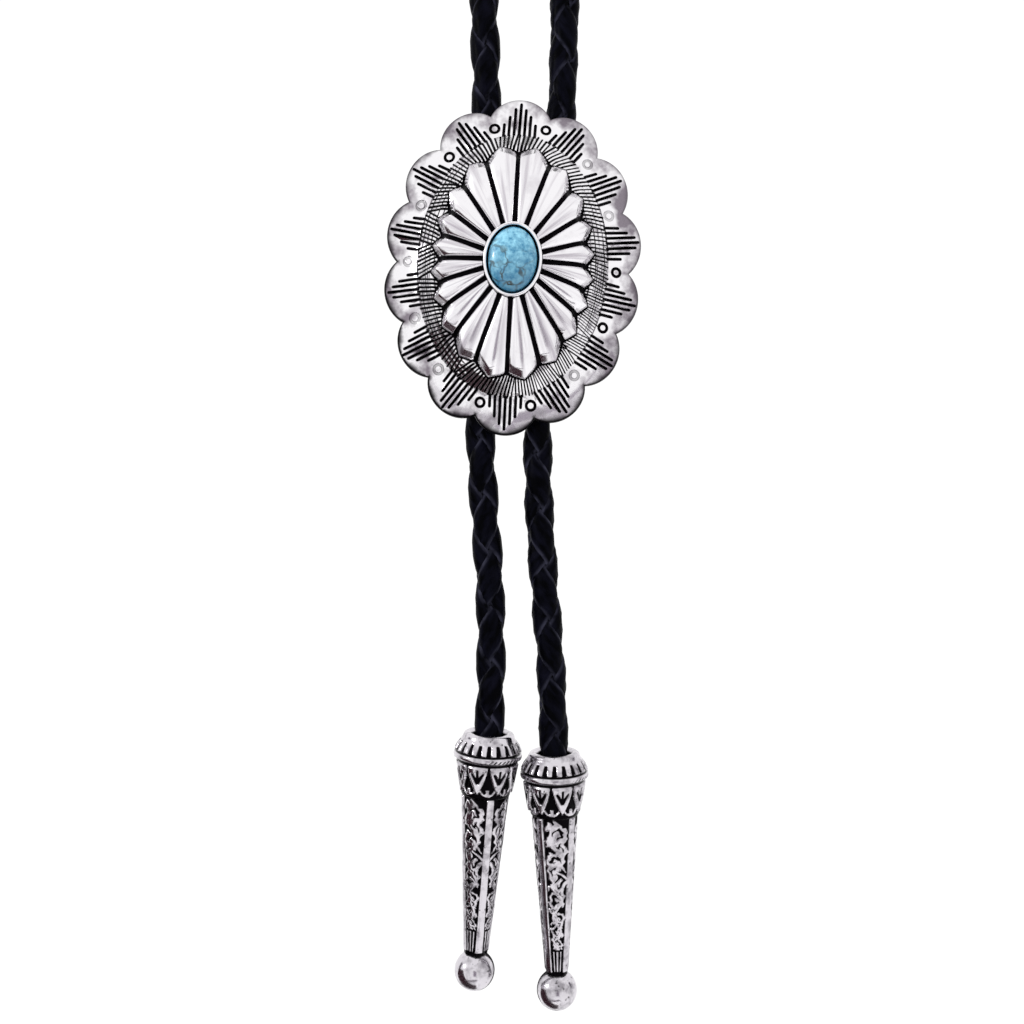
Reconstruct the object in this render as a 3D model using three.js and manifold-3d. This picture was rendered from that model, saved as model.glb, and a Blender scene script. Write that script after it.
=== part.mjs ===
import * as THREE from 'three';
import { mergeVertices } from 'three/addons/utils/BufferGeometryUtils.js';
import Module from 'manifold-3d';

// A bolo tie: a braided leather cord with cast metal tips, held by a slide with a scalloped, fluted
// concho and a turquoise cabochon. Millimetres, +Z up, and the side that faces forward looks to -Y.
// The origin is where the loop rests on the nape of the neck.

// Clearance between two separate pieces
const gap = 0.3;

// Cord
const cordDiameter = 5;
const cordSides = 10;
const cordStep = 12.4;
const leftEndLength = 83;
const rightEndLength = 86.3;

// Place of the slide, from the nape
const frontY = -128;
const slideX = -0.9;
const slideZ = -257;
const conchoTilt = THREE.MathUtils.degToRad(3.1);

// Concho plate: its size over the scallops, and the scallops themselves
const conchoWidth = 42;
const conchoHeight = 54.6;
const lobeCount = 14;
const lobeDepth = 2.1;
const rimThickness = 1.1;
const sheetThickness = 1.2;

// Fluted dome on the plate, measured over the points of its petals
const domeWidth = 26;
const domeHeight = 37.7;
const petalCount = 20;
const petalSides = 7;
const petalPoint = 0.8;
const petalCrown = 0.45;
const grooveWidth = 1;
const grooveDepth = 0.6;

// Heights on the concho, each counted from the one before: rim, foot of the band, foot of the petals,
// foot of the bezel
const plateRise = 1.2;
const bandRise = 2;
const bandWidth = 2.4;
const petalRise = 2.8;

// Bezel and stone
const bezelWall = 0.5;
const bezelHeight = 0.9;
const bezelDepth = 1.8;
const stoneWidth = 7.7;
const stoneLength = 10.2;
const stoneHeight = 3;
const stoneGirdle = 1;
const stoneSides = 28;

// Clip behind the concho, which holds both strands of the cord
const clipLength = 20;
const clipThickness = 1;
const clipInnerWidth = 23.2;
const clipCornerRadius = 2.6;
const clipLipReach = 7;
const tongueWidth = 6;
const tongueLength = 17;
const tongueX = 0.33;
const ribWidth = 2;
const ribLength = 4;
const postDiameter = 6;

// Cast tips
const tipLength = 44;
const tipWidth = 11.4;
const tipSides = 32;
const socketDepth = 6;
const lipThickness = 1.5;
const ballDiameter = 6.75;
const ballRings = 7;
const crownGroove = 0.45;
const leafCount = 8;
const leafHeight = 0.4;
const shaftRibCount = 4;
const shaftRibHeight = 0.35;

const cordRadius = cordDiameter / 2;
const mouthRadius = cordRadius + gap;

// Route of the whole cord, chosen by hand: up from the left tip, through the slide, round the neck,
// and down through the slide to the right tip. The ends count from the slide's own height, 1 mm above
// slideZ, and lie in the plane frontY but for a small lean of the tips.
const routeZ = slideZ + 1;
const leftEndRoute = [
  [-5.15, 0.3, -82.95],
  [-4.8, 0, -77.25],
  [-4.5, 0, -66],
  [-4.7, 0, -53],
  [-5.75, 0, -38],
  [-6.4, 0, -24],
  [-6.25, 0, -10],
  [-5.75, 0, 10],
  [-5.25, 0, 27],
  [-5.67, 0, 45],
  [-5.7, 0, 73],
];
const rightEndRoute = [
  [6.08, 0.3, -86.2],
  [6, 0, -80.5],
  [5.45, 0, -66],
  [4.4, 0, -53],
  [3.45, 0, -38],
  [3.35, 0, -24],
  [4.25, 0, -10],
  [6.05, 0, 10],
  [7.3, 0, 27],
  [7.8, 0, 45],
  [7.9, 0, 73],
];
const neckSideRoute = [
  [11.5, -126, -152],
  [21, -120.5, -116],
  [35, -112.5, -80],
  [50, -97, -49],
  [59.5, -75, -30],
  [62.5, -50, -16],
  [55.5, -25, -7],
  [33, -5, -1.5],
];

// The cord's whole centreline as one smooth curve
function cordCurve() {
  const place = ([x, y, z]) => new THREE.Vector3(x, frontY + y, routeZ + z);
  const left = neckSideRoute.map(([x, y, z]) => new THREE.Vector3(-x, y, z));
  const right = neckSideRoute.map(([x, y, z]) => new THREE.Vector3(x, y, z)).reverse();
  const nape = new THREE.Vector3(0, cordRadius, 0);
  const points = [
    ...leftEndRoute.map(place),
    ...left,
    nape,
    ...right,
    ...rightEndRoute.map(place).reverse(),
  ];
  const curve = new THREE.CatmullRomCurve3(points, false, 'centripetal');
  curve.arcLengthDivisions = 4000;
  return curve;
}

// Part of a longer curve, between two distances along it
class Stretch extends THREE.Curve {
  constructor(whole, from, to) {
    super();
    this.whole = whole;
    this.from = from / whole.getLength();
    this.to = to / whole.getLength();
  }

  getPoint(share, target = new THREE.Vector3()) {
    const along = THREE.MathUtils.lerp(this.from, this.to, share);
    return this.whole.getPointAt(along, target);
  }
}

// A round cord along a stretch of the route
function cordGeometry(curve, from, to) {
  const section = new THREE.Shape();
  const corners = [];
  for (let side = 0; side < cordSides; side++) {
    const turn = (2 * Math.PI * side) / cordSides;
    corners.push(new THREE.Vector2(cordRadius * Math.cos(turn), cordRadius * Math.sin(turn)));
  }
  section.setFromPoints(corners);
  const steps = Math.ceil((to - from) / cordStep);
  const extrudePath = new Stretch(curve, from, to);
  return new THREE.ExtrudeGeometry(section, { steps, bevelEnabled: false, extrudePath });
}

// A closed body through rings that all have as many points, with a centre point at both ends
function bodyFromRings(firstCentre, rings, lastCentre) {
  const count = rings[0].length;
  const points = [firstCentre, ...rings.flat(), lastCentre];
  const last = points.length - 1;
  const at = (ring, side) => 1 + ring * count + (side % count);
  const faces = [];
  for (let side = 0; side < count; side++) {
    faces.push(0, at(0, side), at(0, side + 1));
    for (let ring = 0; ring + 1 < rings.length; ring++) {
      faces.push(at(ring, side), at(ring + 1, side), at(ring + 1, side + 1));
      faces.push(at(ring, side), at(ring + 1, side + 1), at(ring, side + 1));
    }
    faces.push(last, at(rings.length - 1, side + 1), at(rings.length - 1, side));
  }
  const geometry = new THREE.BufferGeometry().setFromPoints(points);
  geometry.setIndex(faces);
  geometry.computeVertexNormals();
  return geometry;
}

// The concho is drawn in its own plane, across and up, with its height standing forward along -Y
function onConcho(across, up, height) {
  return new THREE.Vector3(across, -height, up);
}

// Distance from the middle of an oval to its edge, at a turn counted from the top
function ovalReach(halfWidth, halfHeight, turn) {
  return 1 / Math.hypot(Math.sin(turn) / halfWidth, Math.cos(turn) / halfHeight);
}

const conchoSides = petalCount * petalSides;

// Where a side of a petal ring lies on its petal: the turn from the top, and the share across the petal,
// or null in the groove between two petals
function petalPlace(side, halfWidth, halfHeight) {
  const step = (2 * Math.PI) / petalCount;
  const start = Math.floor(side / petalSides) * step;
  const corner = side % petalSides;
  if (corner === 0) return { turn: start, across: null };
  const across = (corner - 1) / (petalSides - 2);
  const reach = ovalReach(halfWidth, halfHeight, start + across * step);
  const halfGroove = grooveWidth / 2 / reach;
  return { turn: start + THREE.MathUtils.lerp(halfGroove, step - halfGroove, across), across };
}

// A ring of petal sides on an oval. Points reach out past the grooves at the middle of each petal.
function petalRing({ halfWidth, halfHeight, height, crown = 0, groove = 0, point = 0 }) {
  const ring = [];
  for (let side = 0; side < conchoSides; side++) {
    const { turn, across } = petalPlace(side, halfWidth, halfHeight);
    const peak = across === null ? 0 : 1 - Math.abs(2 * across - 1);
    const swell = across === null ? -groove : crown * 4 * across * (1 - across);
    const reach = ovalReach(halfWidth, halfHeight, turn) + point * (peak - 1);
    ring.push(onConcho(reach * Math.sin(turn), reach * Math.cos(turn), height + swell));
  }
  return ring;
}

// A ring of points at even distances along an oval, pushed out into scallops
function scallopRing({ halfWidth, halfHeight, height, scallop = 0 }) {
  const oval = new THREE.EllipseCurve(0, 0, halfWidth, halfHeight, Math.PI / 2, -1.5 * Math.PI, true);
  oval.arcLengthDivisions = 2000;
  const chord = oval.getLength() / lobeCount;
  const radius = (chord * chord / 4 + lobeDepth * lobeDepth) / (2 * lobeDepth);
  const ring = [];
  for (let side = 0; side < conchoSides; side++) {
    const share = side / conchoSides;
    const point = oval.getPointAt(share);
    const tangent = oval.getTangentAt(share);
    const fromCrest = (THREE.MathUtils.euclideanModulo(share * lobeCount + 0.5, 1) - 0.5) * chord;
    const push = scallop * (Math.sqrt(radius * radius - fromCrest * fromCrest) - radius + lobeDepth);
    ring.push(onConcho(point.x - tangent.y * push, point.y + tangent.x * push, height));
  }
  return ring;
}

// Heights on the concho, from the front of the rim
const bandTop = plateRise + bandRise;
const bezelFoot = bandTop + petalRise;
const bezelTop = bezelFoot + bezelHeight;
const stoneSeat = bezelTop - bezelDepth;
const seatUnderside = stoneSeat - sheetThickness;

// Sections of the fluted dome from the bezel out: reach is the share of the way to the petal points,
// rise the share of petalRise, crown and groove shares of petalCrown and grooveDepth
const petalSections = [
  { reach: 0, rise: 1, crown: 0.2, groove: 0.6 },
  { reach: 0.22, rise: 0.97, crown: 0.7, groove: 1 },
  { reach: 0.5, rise: 0.88, crown: 1, groove: 1 },
  { reach: 0.76, rise: 0.72, crown: 1, groove: 1 },
  { reach: 0.9, rise: 0.56, crown: 0.9, groove: 0.9 },
];

// The concho: seat, bezel, petals, band, plate and scalloped rim, then the hollow back
function conchoGeometry() {
  const seat = { halfWidth: stoneWidth / 2 + gap, halfHeight: stoneLength / 2 + gap };
  const bezel = { halfWidth: seat.halfWidth + bezelWall, halfHeight: seat.halfHeight + bezelWall };
  const dome = { halfWidth: domeWidth / 2, halfHeight: domeHeight / 2 };
  const between = (share) => ({
    halfWidth: THREE.MathUtils.lerp(bezel.halfWidth, dome.halfWidth, share),
    halfHeight: THREE.MathUtils.lerp(bezel.halfHeight, dome.halfHeight, share),
  });
  const grown = (oval, amount) => ({
    halfWidth: oval.halfWidth + amount,
    halfHeight: oval.halfHeight + amount,
  });
  const notches = { halfWidth: conchoWidth / 2 - lobeDepth, halfHeight: conchoHeight / 2 - lobeDepth };
  const band = grown(dome, bandWidth);
  const ledge = grown(band, -sheetThickness / 4);

  const petals = petalSections.map(({ reach, rise, crown, groove }) => petalRing({
    ...between(reach),
    height: bandTop + petalRise * rise,
    crown: petalCrown * crown,
    groove: grooveDepth * groove,
    point: petalPoint * reach,
  }));
  const underPetals = [petalSections[3], petalSections[1]].map(({ reach, rise }) => petalRing({
    ...between(reach),
    height: bandTop + petalRise * rise - sheetThickness,
  }));
  const rings = [
    petalRing({ ...seat, height: stoneSeat }),
    petalRing({ ...seat, height: bezelTop }),
    petalRing({ ...bezel, height: bezelTop }),
    ...petals,
    petalRing({ ...dome, height: bandTop, point: petalPoint }),
    petalRing({ ...band, height: plateRise }),
    scallopRing({ ...grown(notches, -lobeDepth), height: plateRise / 3 }),
    scallopRing({ ...notches, height: 0, scallop: 1 }),
    scallopRing({ ...notches, height: -rimThickness, scallop: 1 }),
    petalRing({ ...ledge, height: -rimThickness }),
    petalRing({ ...grown(dome, -sheetThickness / 4), height: bandTop - sheetThickness }),
    ...underPetals,
    petalRing({ ...bezel, height: seatUnderside }),
  ];
  return bodyFromRings(onConcho(0, 0, seatUnderside), rings.reverse(), onConcho(0, 0, stoneSeat));
}

// The cabochon: a flat foot, an upright girdle and a low dome
function stoneGeometry() {
  const foot = stoneSeat + gap;
  const domeRings = 5;
  const heights = [[1, foot], [1, foot + stoneGirdle]];
  for (let ring = 1; ring < domeRings; ring++) {
    const lift = (Math.PI / 2) * (ring / domeRings);
    const rise = (stoneHeight - stoneGirdle) * Math.sin(lift);
    heights.push([Math.cos(lift), foot + stoneGirdle + rise]);
  }
  const rings = heights.map(([size, height]) => {
    const ring = [];
    for (let side = 0; side < stoneSides; side++) {
      const turn = (2 * Math.PI * side) / stoneSides;
      const across = (size * stoneWidth * Math.sin(turn)) / 2;
      ring.push(onConcho(across, (size * stoneLength * Math.cos(turn)) / 2, height));
    }
    return ring;
  });
  return bodyFromRings(onConcho(0, 0, foot), rings, onConcho(0, 0, foot + stoneHeight));
}

// Depths of the clip's channel, from the middle of the cord: the faces that the cord lies between,
// and the outer faces of the sheet
const channelFace = cordRadius + gap;
const channelBack = channelFace + clipThickness;

// Section of the clip: a base plate whose two sides are curled round the strands
function channelShape() {
  const inner = clipInnerWidth / 2;
  const outer = inner + clipThickness;
  const lip = inner - clipLipReach;
  const outerRadius = clipCornerRadius;
  const innerRadius = clipCornerRadius - clipThickness;
  const right = Math.PI / 2;
  const outline = new THREE.Shape();
  outline.moveTo(lip, channelBack);
  for (const [x, y, start] of [[1, 1, right], [1, -1, 0], [-1, -1, -right], [-1, 1, -2 * right]]) {
    const centreX = x * (outer - outerRadius);
    outline.absarc(centreX, y * (channelBack - outerRadius), outerRadius, start, start - right, true);
  }
  outline.lineTo(-lip, channelBack);
  outline.lineTo(-lip, channelFace);
  for (const [x, y, start] of [[-1, 1, right], [-1, -1, 2 * right], [1, -1, -right], [1, 1, 0]]) {
    const centreX = x * (inner - innerRadius);
    outline.absarc(centreX, y * (channelFace - innerRadius), innerRadius, start, start + right, false);
  }
  outline.lineTo(lip, channelFace);
  return outline;
}

const wasm = await Module();
wasm.setup();

// A closed mesh as a solid that can be joined
function solidOf(geometry) {
  const bare = geometry.clone();
  bare.deleteAttribute('normal');
  bare.deleteAttribute('uv');
  const merged = mergeVertices(bare, 1e-4);
  return new wasm.Manifold(new wasm.Mesh({
    numProp: 3,
    vertProperties: new Float32Array(merged.attributes.position.array),
    triVerts: new Uint32Array(merged.index.array),
  }));
}

// Several overlapping meshes joined into one
function joined(geometries) {
  const solid = geometries.map(solidOf).reduce((whole, next) => whole.add(next));
  const mesh = solid.getMesh();
  const geometry = new THREE.BufferGeometry();
  geometry.setAttribute('position', new THREE.BufferAttribute(new Float32Array(mesh.vertProperties), 3));
  geometry.setIndex(new THREE.BufferAttribute(new Uint32Array(mesh.triVerts), 1));
  geometry.computeVertexNormals();
  return geometry;
}

// Distance from the middle of the cord forward to the front of the concho's rim
const rimFrontDepth = channelBack + gap + rimThickness;

// The clip: the channel, a tongue over the strands, the rib that carries the tongue, and the post that
// holds the concho
function clipGeometry() {
  const channel = new THREE.ExtrudeGeometry(channelShape(), {
    depth: clipLength,
    bevelEnabled: false,
    curveSegments: 5,
  });
  channel.translate(0, 0, -clipLength / 2);

  const tongue = new THREE.BoxGeometry(tongueWidth, clipThickness, tongueLength);
  tongue.translate(tongueX, channelBack - clipThickness / 2, (clipLength - tongueLength) / 2);

  const sunk = clipThickness / 2;
  const rib = new THREE.BoxGeometry(ribWidth, 2 * (channelFace + sunk), ribLength);
  rib.translate(tongueX, 0, (clipLength - ribLength) / 2);

  const postTop = rimFrontDepth + seatUnderside - gap;
  const postLength = postTop - channelBack + sunk;
  const post = new THREE.CylinderGeometry(postDiameter / 2, postDiameter / 2, postLength, 24);
  post.translate(0, channelBack - sunk + postLength / 2, 0);
  post.rotateX(Math.PI);
  return joined([channel, tongue, rib, post]);
}

// Outside of a tip from under its lip down to the neck above the ball. at is a share of tipLength and
// wide a share of the tip's half width. groove, leaf and rib say how much of the crown's grooves, the
// collar's leaves and the shaft's ribs a ring has. reach is how far down its leaf the ring is.
const tipSections = [
  { at: 0.025, wide: 0.8 },
  { at: 0.028, wide: 0.82, groove: 1 },
  { at: 0.045, wide: 0.91, groove: 1 },
  { at: 0.065, wide: 0.985, groove: 1 },
  { at: 0.068, wide: 0.91 },
  { at: 0.074, wide: 0.91 },
  { at: 0.077, wide: 1 },
  { at: 0.096, wide: 0.985 },
  { at: 0.099, wide: 0.89 },
  { at: 0.11, wide: 0.88 },
  { at: 0.113, wide: 0.83, leaf: 1, reach: 0 },
  { at: 0.148, wide: 0.79, leaf: 1, reach: 0.35 },
  { at: 0.182, wide: 0.75, leaf: 1, reach: 0.7 },
  { at: 0.212, wide: 0.72, leaf: 1, reach: 1 },
  { at: 0.236, wide: 0.72 },
  { at: 0.24, wide: 0.64, rib: 1 },
  { at: 0.42, wide: 0.545, rib: 1 },
  { at: 0.59, wide: 0.45, rib: 1 },
  { at: 0.73, wide: 0.37, rib: 1 },
  { at: 0.84, wide: 0.31, rib: 0.8 },
  { at: 0.85, wide: 0.28 },
];

// How far a side of a tip stands out of its ring
function tipRelief(side, { groove = 0, leaf = 0, rib = 0, reach = 0 }) {
  const fromMiddle = (count) => {
    const sides = tipSides / count;
    return Math.abs(THREE.MathUtils.euclideanModulo(side + sides / 2, sides) - sides / 2) / (sides / 2);
  };
  const inLeaf = THREE.MathUtils.clamp((1.15 - reach - fromMiddle(leafCount)) / 0.4, 0, 1);
  const onRib = THREE.MathUtils.clamp((0.4 - fromMiddle(shaftRibCount)) / 0.2, 0, 1);
  const inGroove = side % 2;
  return leafHeight * leaf * inLeaf + shaftRibHeight * rib * onRib - crownGroove * groove * inGroove;
}

function tipRing(radius, z, section = {}) {
  const ring = [];
  for (let side = 0; side < tipSides; side++) {
    const turn = (-2 * Math.PI * side) / tipSides;
    const out = radius + tipRelief(side, section);
    ring.push(new THREE.Vector3(out * Math.sin(turn), -out * Math.cos(turn), z));
  }
  return ring;
}

// A cast tip, mouth up, with the middle of its mouth at the origin
function tipGeometry() {
  const rings = [];
  const ballRadius = ballDiameter / 2;
  const ballMiddle = ballRadius - tipLength;
  const neck = tipSections[tipSections.length - 1];
  const neckAngle = Math.asin((neck.wide * tipWidth) / 2 / ballRadius);
  for (let ring = 1; ring <= ballRings; ring++) {
    const angle = ((Math.PI - neckAngle) * ring) / ballRings;
    rings.push(tipRing(ballRadius * Math.sin(angle), ballMiddle - ballRadius * Math.cos(angle)));
  }
  for (const section of [...tipSections].reverse()) {
    rings.push(tipRing((section.wide * tipWidth) / 2, -section.at * tipLength, section));
  }
  const lipRadius = lipThickness / 2;
  for (let step = 0; step <= 4; step++) {
    const angle = (Math.PI * step) / 4;
    const radius = mouthRadius + lipRadius + lipRadius * Math.cos(angle);
    rings.push(tipRing(radius, lipRadius * (Math.sin(angle) - 1)));
  }
  rings.push(tipRing(mouthRadius, -socketDepth));
  const bottom = new THREE.Vector3(0, 0, -tipLength);
  const socketFloor = new THREE.Vector3(0, 0, -socketDepth);
  return bodyFromRings(bottom, rings, socketFloor);
}

const leather = new THREE.MeshStandardMaterial({ color: 0x111116, roughness: 0.5, metalness: 0 });
const polishedSilver = new THREE.MeshStandardMaterial({ color: 0xd9d8db, roughness: 0.2, metalness: 1 });
const antiquedSilver = new THREE.MeshStandardMaterial({ color: 0xa8a6ab, roughness: 0.35, metalness: 1 });
const steel = new THREE.MeshStandardMaterial({ color: 0x9a9a9e, roughness: 0.4, metalness: 1 });
const turquoise = new THREE.MeshStandardMaterial({ color: 0x5fb0d6, roughness: 0.35, metalness: 0 });

function piece(name, geometry, material) {
  const mesh = new THREE.Mesh(geometry, material);
  mesh.name = name;
  return mesh;
}

// A tip pushed on the end of the cord, in line with it. downwards points out of the cord's end.
function tipOnCord(name, cordEnd, downwards) {
  const tip = piece(name, tipGeometry(), antiquedSilver);
  tip.quaternion.setFromUnitVectors(new THREE.Vector3(0, 0, -1), downwards);
  tip.position.copy(cordEnd).addScaledVector(downwards, gap - socketDepth);
  return tip;
}

const boloTie = new THREE.Group();

const route = cordCurve();
const routeLength = route.getLength();
const loopStart = leftEndLength + gap / 2;
const loopEnd = routeLength - rightEndLength - gap / 2;
boloTie.add(piece('neck_loop', cordGeometry(route, loopStart, loopEnd), leather));
boloTie.add(piece('cord_end_left', cordGeometry(route, 0, loopStart - gap), leather));
boloTie.add(piece('cord_end_right', cordGeometry(route, loopEnd + gap, routeLength), leather));
boloTie.add(tipOnCord('tip_left', route.getPointAt(0), route.getTangentAt(0).negate()));
boloTie.add(tipOnCord('tip_right', route.getPointAt(1), route.getTangentAt(1)));

const slide = new THREE.Group();
slide.position.set(slideX, frontY, slideZ);
slide.add(piece('slide_clip', clipGeometry(), steel));

const front = new THREE.Group();
front.position.y = -rimFrontDepth;
front.rotation.y = conchoTilt;
front.add(piece('concho', conchoGeometry(), polishedSilver));
front.add(piece('stone', stoneGeometry(), turquoise));
slide.add(front);
boloTie.add(slide);

export default boloTie;
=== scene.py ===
import math
import bmesh
import bpy
import numpy as np
from mathutils import Matrix, Vector
from mathutils.geometry import delaunay_2d_cdt


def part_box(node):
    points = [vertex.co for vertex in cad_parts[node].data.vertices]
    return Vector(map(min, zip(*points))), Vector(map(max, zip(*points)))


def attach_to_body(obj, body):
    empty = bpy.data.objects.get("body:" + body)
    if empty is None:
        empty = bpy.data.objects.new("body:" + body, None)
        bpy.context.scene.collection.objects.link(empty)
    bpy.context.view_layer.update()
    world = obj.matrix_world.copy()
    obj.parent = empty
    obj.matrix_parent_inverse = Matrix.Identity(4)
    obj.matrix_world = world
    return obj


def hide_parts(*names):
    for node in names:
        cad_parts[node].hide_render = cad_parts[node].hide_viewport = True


# Bolo tie: black braided leather cord, a silver slide with a turquoise stone, two cast silver tips.
# Metres, +Z up. The slide faces -Y, and the origin is where the loop rests on the nape.
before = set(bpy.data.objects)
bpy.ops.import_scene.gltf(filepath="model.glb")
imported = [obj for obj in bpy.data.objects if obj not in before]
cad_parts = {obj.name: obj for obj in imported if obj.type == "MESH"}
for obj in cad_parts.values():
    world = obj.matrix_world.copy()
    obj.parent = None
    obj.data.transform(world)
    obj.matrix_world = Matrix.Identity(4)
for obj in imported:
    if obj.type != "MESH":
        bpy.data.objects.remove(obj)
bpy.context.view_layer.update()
mm = 0.001


# sRGB hex to the linear colour that Blender's sockets want
def hexColour(text):
    parts = [int(text[i:i + 2], 16) / 255 for i in (1, 3, 5)]
    return tuple(c / 12.92 if c <= 0.04045 else ((c + 0.055) / 1.055) ** 2.4 for c in parts) + (1.0,)


# Links or sets the named inputs of a node
def setInputs(node, inputs):
    for socket, value in inputs.items():
        if isinstance(value, bpy.types.NodeSocket):
            node.id_data.links.new(value, node.inputs[socket])
        else:
            node.inputs[socket].default_value = value


# Adds one node with its inputs and settings, and gives one of its outputs, or all for None
def addNode(tree, kind, inputs=None, output=0, **settings):
    node = tree.nodes.new(kind)
    for name, value in settings.items():
        setattr(node, name, value)
    setInputs(node, inputs or {})
    return node.outputs if output is None else node.outputs[output]


# Adds one maths node for each step. A step is (name, operation, terms), and a term is the name of an
# earlier value or a number.
def addSteps(tree, values, steps, kind="ShaderNodeMath"):
    for name, operation, *terms in steps:
        inputs = {i: values[t] if isinstance(t, str) else t for i, t in enumerate(terms)}
        values[name] = addNode(tree, kind, inputs, operation=operation)


# Camera
camera = {
    "distance": 200 * mm,      # from the plane that the cord's ends hang in
    "across": -1 * mm,
    "height": -296.67 * mm,
    "viewHeight": 170.67 * mm,     # what the picture spans in that plane
    "sensor": 36.0,
}
frontY = -128 * mm             # the plane that the cord's ends hang in


def makeCamera():
    data = bpy.data.cameras.new("camera")
    data.sensor_width = camera["sensor"]
    data.lens = camera["sensor"] * camera["distance"] / camera["viewHeight"]
    data.clip_start = 0.01
    data.clip_end = 20
    eye = bpy.data.objects.new("camera", data)
    eye.location = (camera["across"], frontY - camera["distance"], camera["height"])
    eye.rotation_euler = (math.pi / 2, 0, 0)
    bpy.context.scene.collection.objects.link(eye)
    bpy.context.scene.camera = eye


makeCamera()
print("camera ready")

# Cord. The route's points are listed in millimetres: across, out of the plane frontY, and up
# from the slide's height for the two ends, and plain X, Y, Z for the side of the neck.
slideHeight = -256
leftEndRoute = [
    (-5.15, 0.3, -82.95), (-4.8, 0, -77.25), (-4.5, 0, -66), (-4.7, 0, -53), (-5.75, 0, -38),
    (-6.4, 0, -24), (-6.25, 0, -10), (-5.75, 0, 10), (-5.25, 0, 27), (-5.67, 0, 45), (-5.7, 0, 73),
]
rightEndRoute = [
    (6.08, 0.3, -86.2), (6, 0, -80.5), (5.45, 0, -66), (4.4, 0, -53), (3.45, 0, -38),
    (3.35, 0, -24), (4.25, 0, -10), (6.05, 0, 10), (7.3, 0, 27), (7.8, 0, 45), (7.9, 0, 73),
]
neckSideRoute = [
    (11.5, -126, -152), (21, -120.5, -116), (35, -112.5, -80), (50, -97, -49), (59.5, -75, -30),
    (62.5, -50, -16), (55.5, -25, -7), (33, -5, -1.5),
]
cord = {
    "diameter": 5 * mm,
    "leftEnd": 83 * mm,        # length below the middle of the slide
    "rightEnd": 86.3 * mm,
    "routeStep": 0.5 * mm,
    "laceStep": 0.62 * mm,
    "firstCrossing": 26.8 * mm,    # where two laces cross at the front, from the left end
    "faceTurn": math.pi / 2,   # slow twist from one end of the cord to the other
}
# The braid's own sizes, each an input of its tree
braid = {
    "pitch": 18.58 * mm,       # one full turn of a lace
    "midRadius": 1.87 * mm,
    "weave": 0.32 * mm,        # how far a lace swings out and in
    "halfThickness": 0.38 * mm,
    "halfWidth": 0.97 * math.pi / 2,   # of a lace, in radians; a quarter turn would leave no gap
    "sectionPoints": 14,
    "wander": 0.5,             # unevenness of the hand braiding, in radians
    "wanderScale": 0.045 / mm,
    "neckAxis": -60 * mm,      # Y of the upright line that the loop turns round
}


def cordPoints():
    place = lambda p: (p[0], frontY / mm + p[1], slideHeight + p[2])
    left = [place(p) for p in leftEndRoute] + [(-x, y, z) for x, y, z in neckSideRoute]
    right = [place(p) for p in rightEndRoute] + neckSideRoute
    nape = (0, cord["diameter"] / mm / 2, 0)
    return np.array(left + [nape] + right[::-1]) * mm


# Centripetal Catmull-Rom curve through the points
def smoothCurve(points, perSpan=60):
    before, after = 2 * points[0] - points[1], 2 * points[-1] - points[-2]
    q = np.concatenate([[before], points, [after]])
    t = np.linspace(0, 1, perSpan, endpoint=False)[:, None]
    out = []
    for a, b, c, d in zip(q, q[1:], q[2:], q[3:]):
        ab, bc, cd = (np.linalg.norm(v) ** 0.5 for v in (b - a, c - b, d - c))
        start = ((b - a) / ab - (c - a) / (ab + bc) + (c - b) / bc) * bc
        end = ((c - b) / bc - (d - b) / (bc + cd) + (d - c) / cd) * bc
        square = -3 * b + 3 * c - 2 * start - end
        cube = 2 * b - 2 * c + start + end
        out.append(b + start * t + square * t ** 2 + cube * t ** 3)
    return np.concatenate(out + [points[-1:]])


# Distance along a line to each of its points
def runAlong(points):
    return np.concatenate([[0], np.cumsum(np.linalg.norm(np.diff(points, axis=0), axis=1))])


cordLine = smoothCurve(cordPoints())
cordRun = runAlong(cordLine)
cordLength = cordRun[-1]
# Each stretch of the cord: where it starts and ends along the cord, and the node that it stands for
stretches = {
    "braid_left_end": (0.0, cord["leftEnd"], "cord_end_left"),
    "braid_neck": (cord["leftEnd"], cordLength - cord["rightEnd"], "neck_loop"),
    "braid_right_end": (cordLength - cord["rightEnd"], cordLength, "cord_end_right"),
}


# Points of the cord's centreline between two distances from the left end
def stretchOf(start, end):
    count = int(math.ceil((end - start) / cord["routeStep"])) + 1
    along = np.linspace(start, end, count)
    return np.stack([np.interp(along, cordRun, cordLine[:, i]) for i in range(3)], axis=1)


def newObject(name, mesh):
    made = bpy.data.objects.new(name, mesh)
    bpy.context.scene.collection.objects.link(made)
    return made


# Says which body a finished piece moves with and which node it stands for, and adds its material if one is
# given
def attach(piece, body, node, material=None):
    if material:
        piece.data.materials.append(material)
    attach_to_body(piece, body)
    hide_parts(node)


# New tree with a geometry input and output, and an input for each setting
def startTree(name, settings):
    tree = bpy.data.node_groups.new(name, "GeometryNodeTree")
    for way in ("INPUT", "OUTPUT"):
        tree.interface.new_socket("Geometry", in_out=way, socket_type="NodeSocketGeometry")
    for key, value in settings.items():
        kind = "Int" if isinstance(value, int) else "Float" if isinstance(value, float) else "Material"
        tree.interface.new_socket(key, in_out="INPUT", socket_type="NodeSocket" + kind)
    given = addNode(tree, "NodeGroupInput", output=None)
    return tree, {socket.name: socket for socket in given if socket.name}


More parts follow.
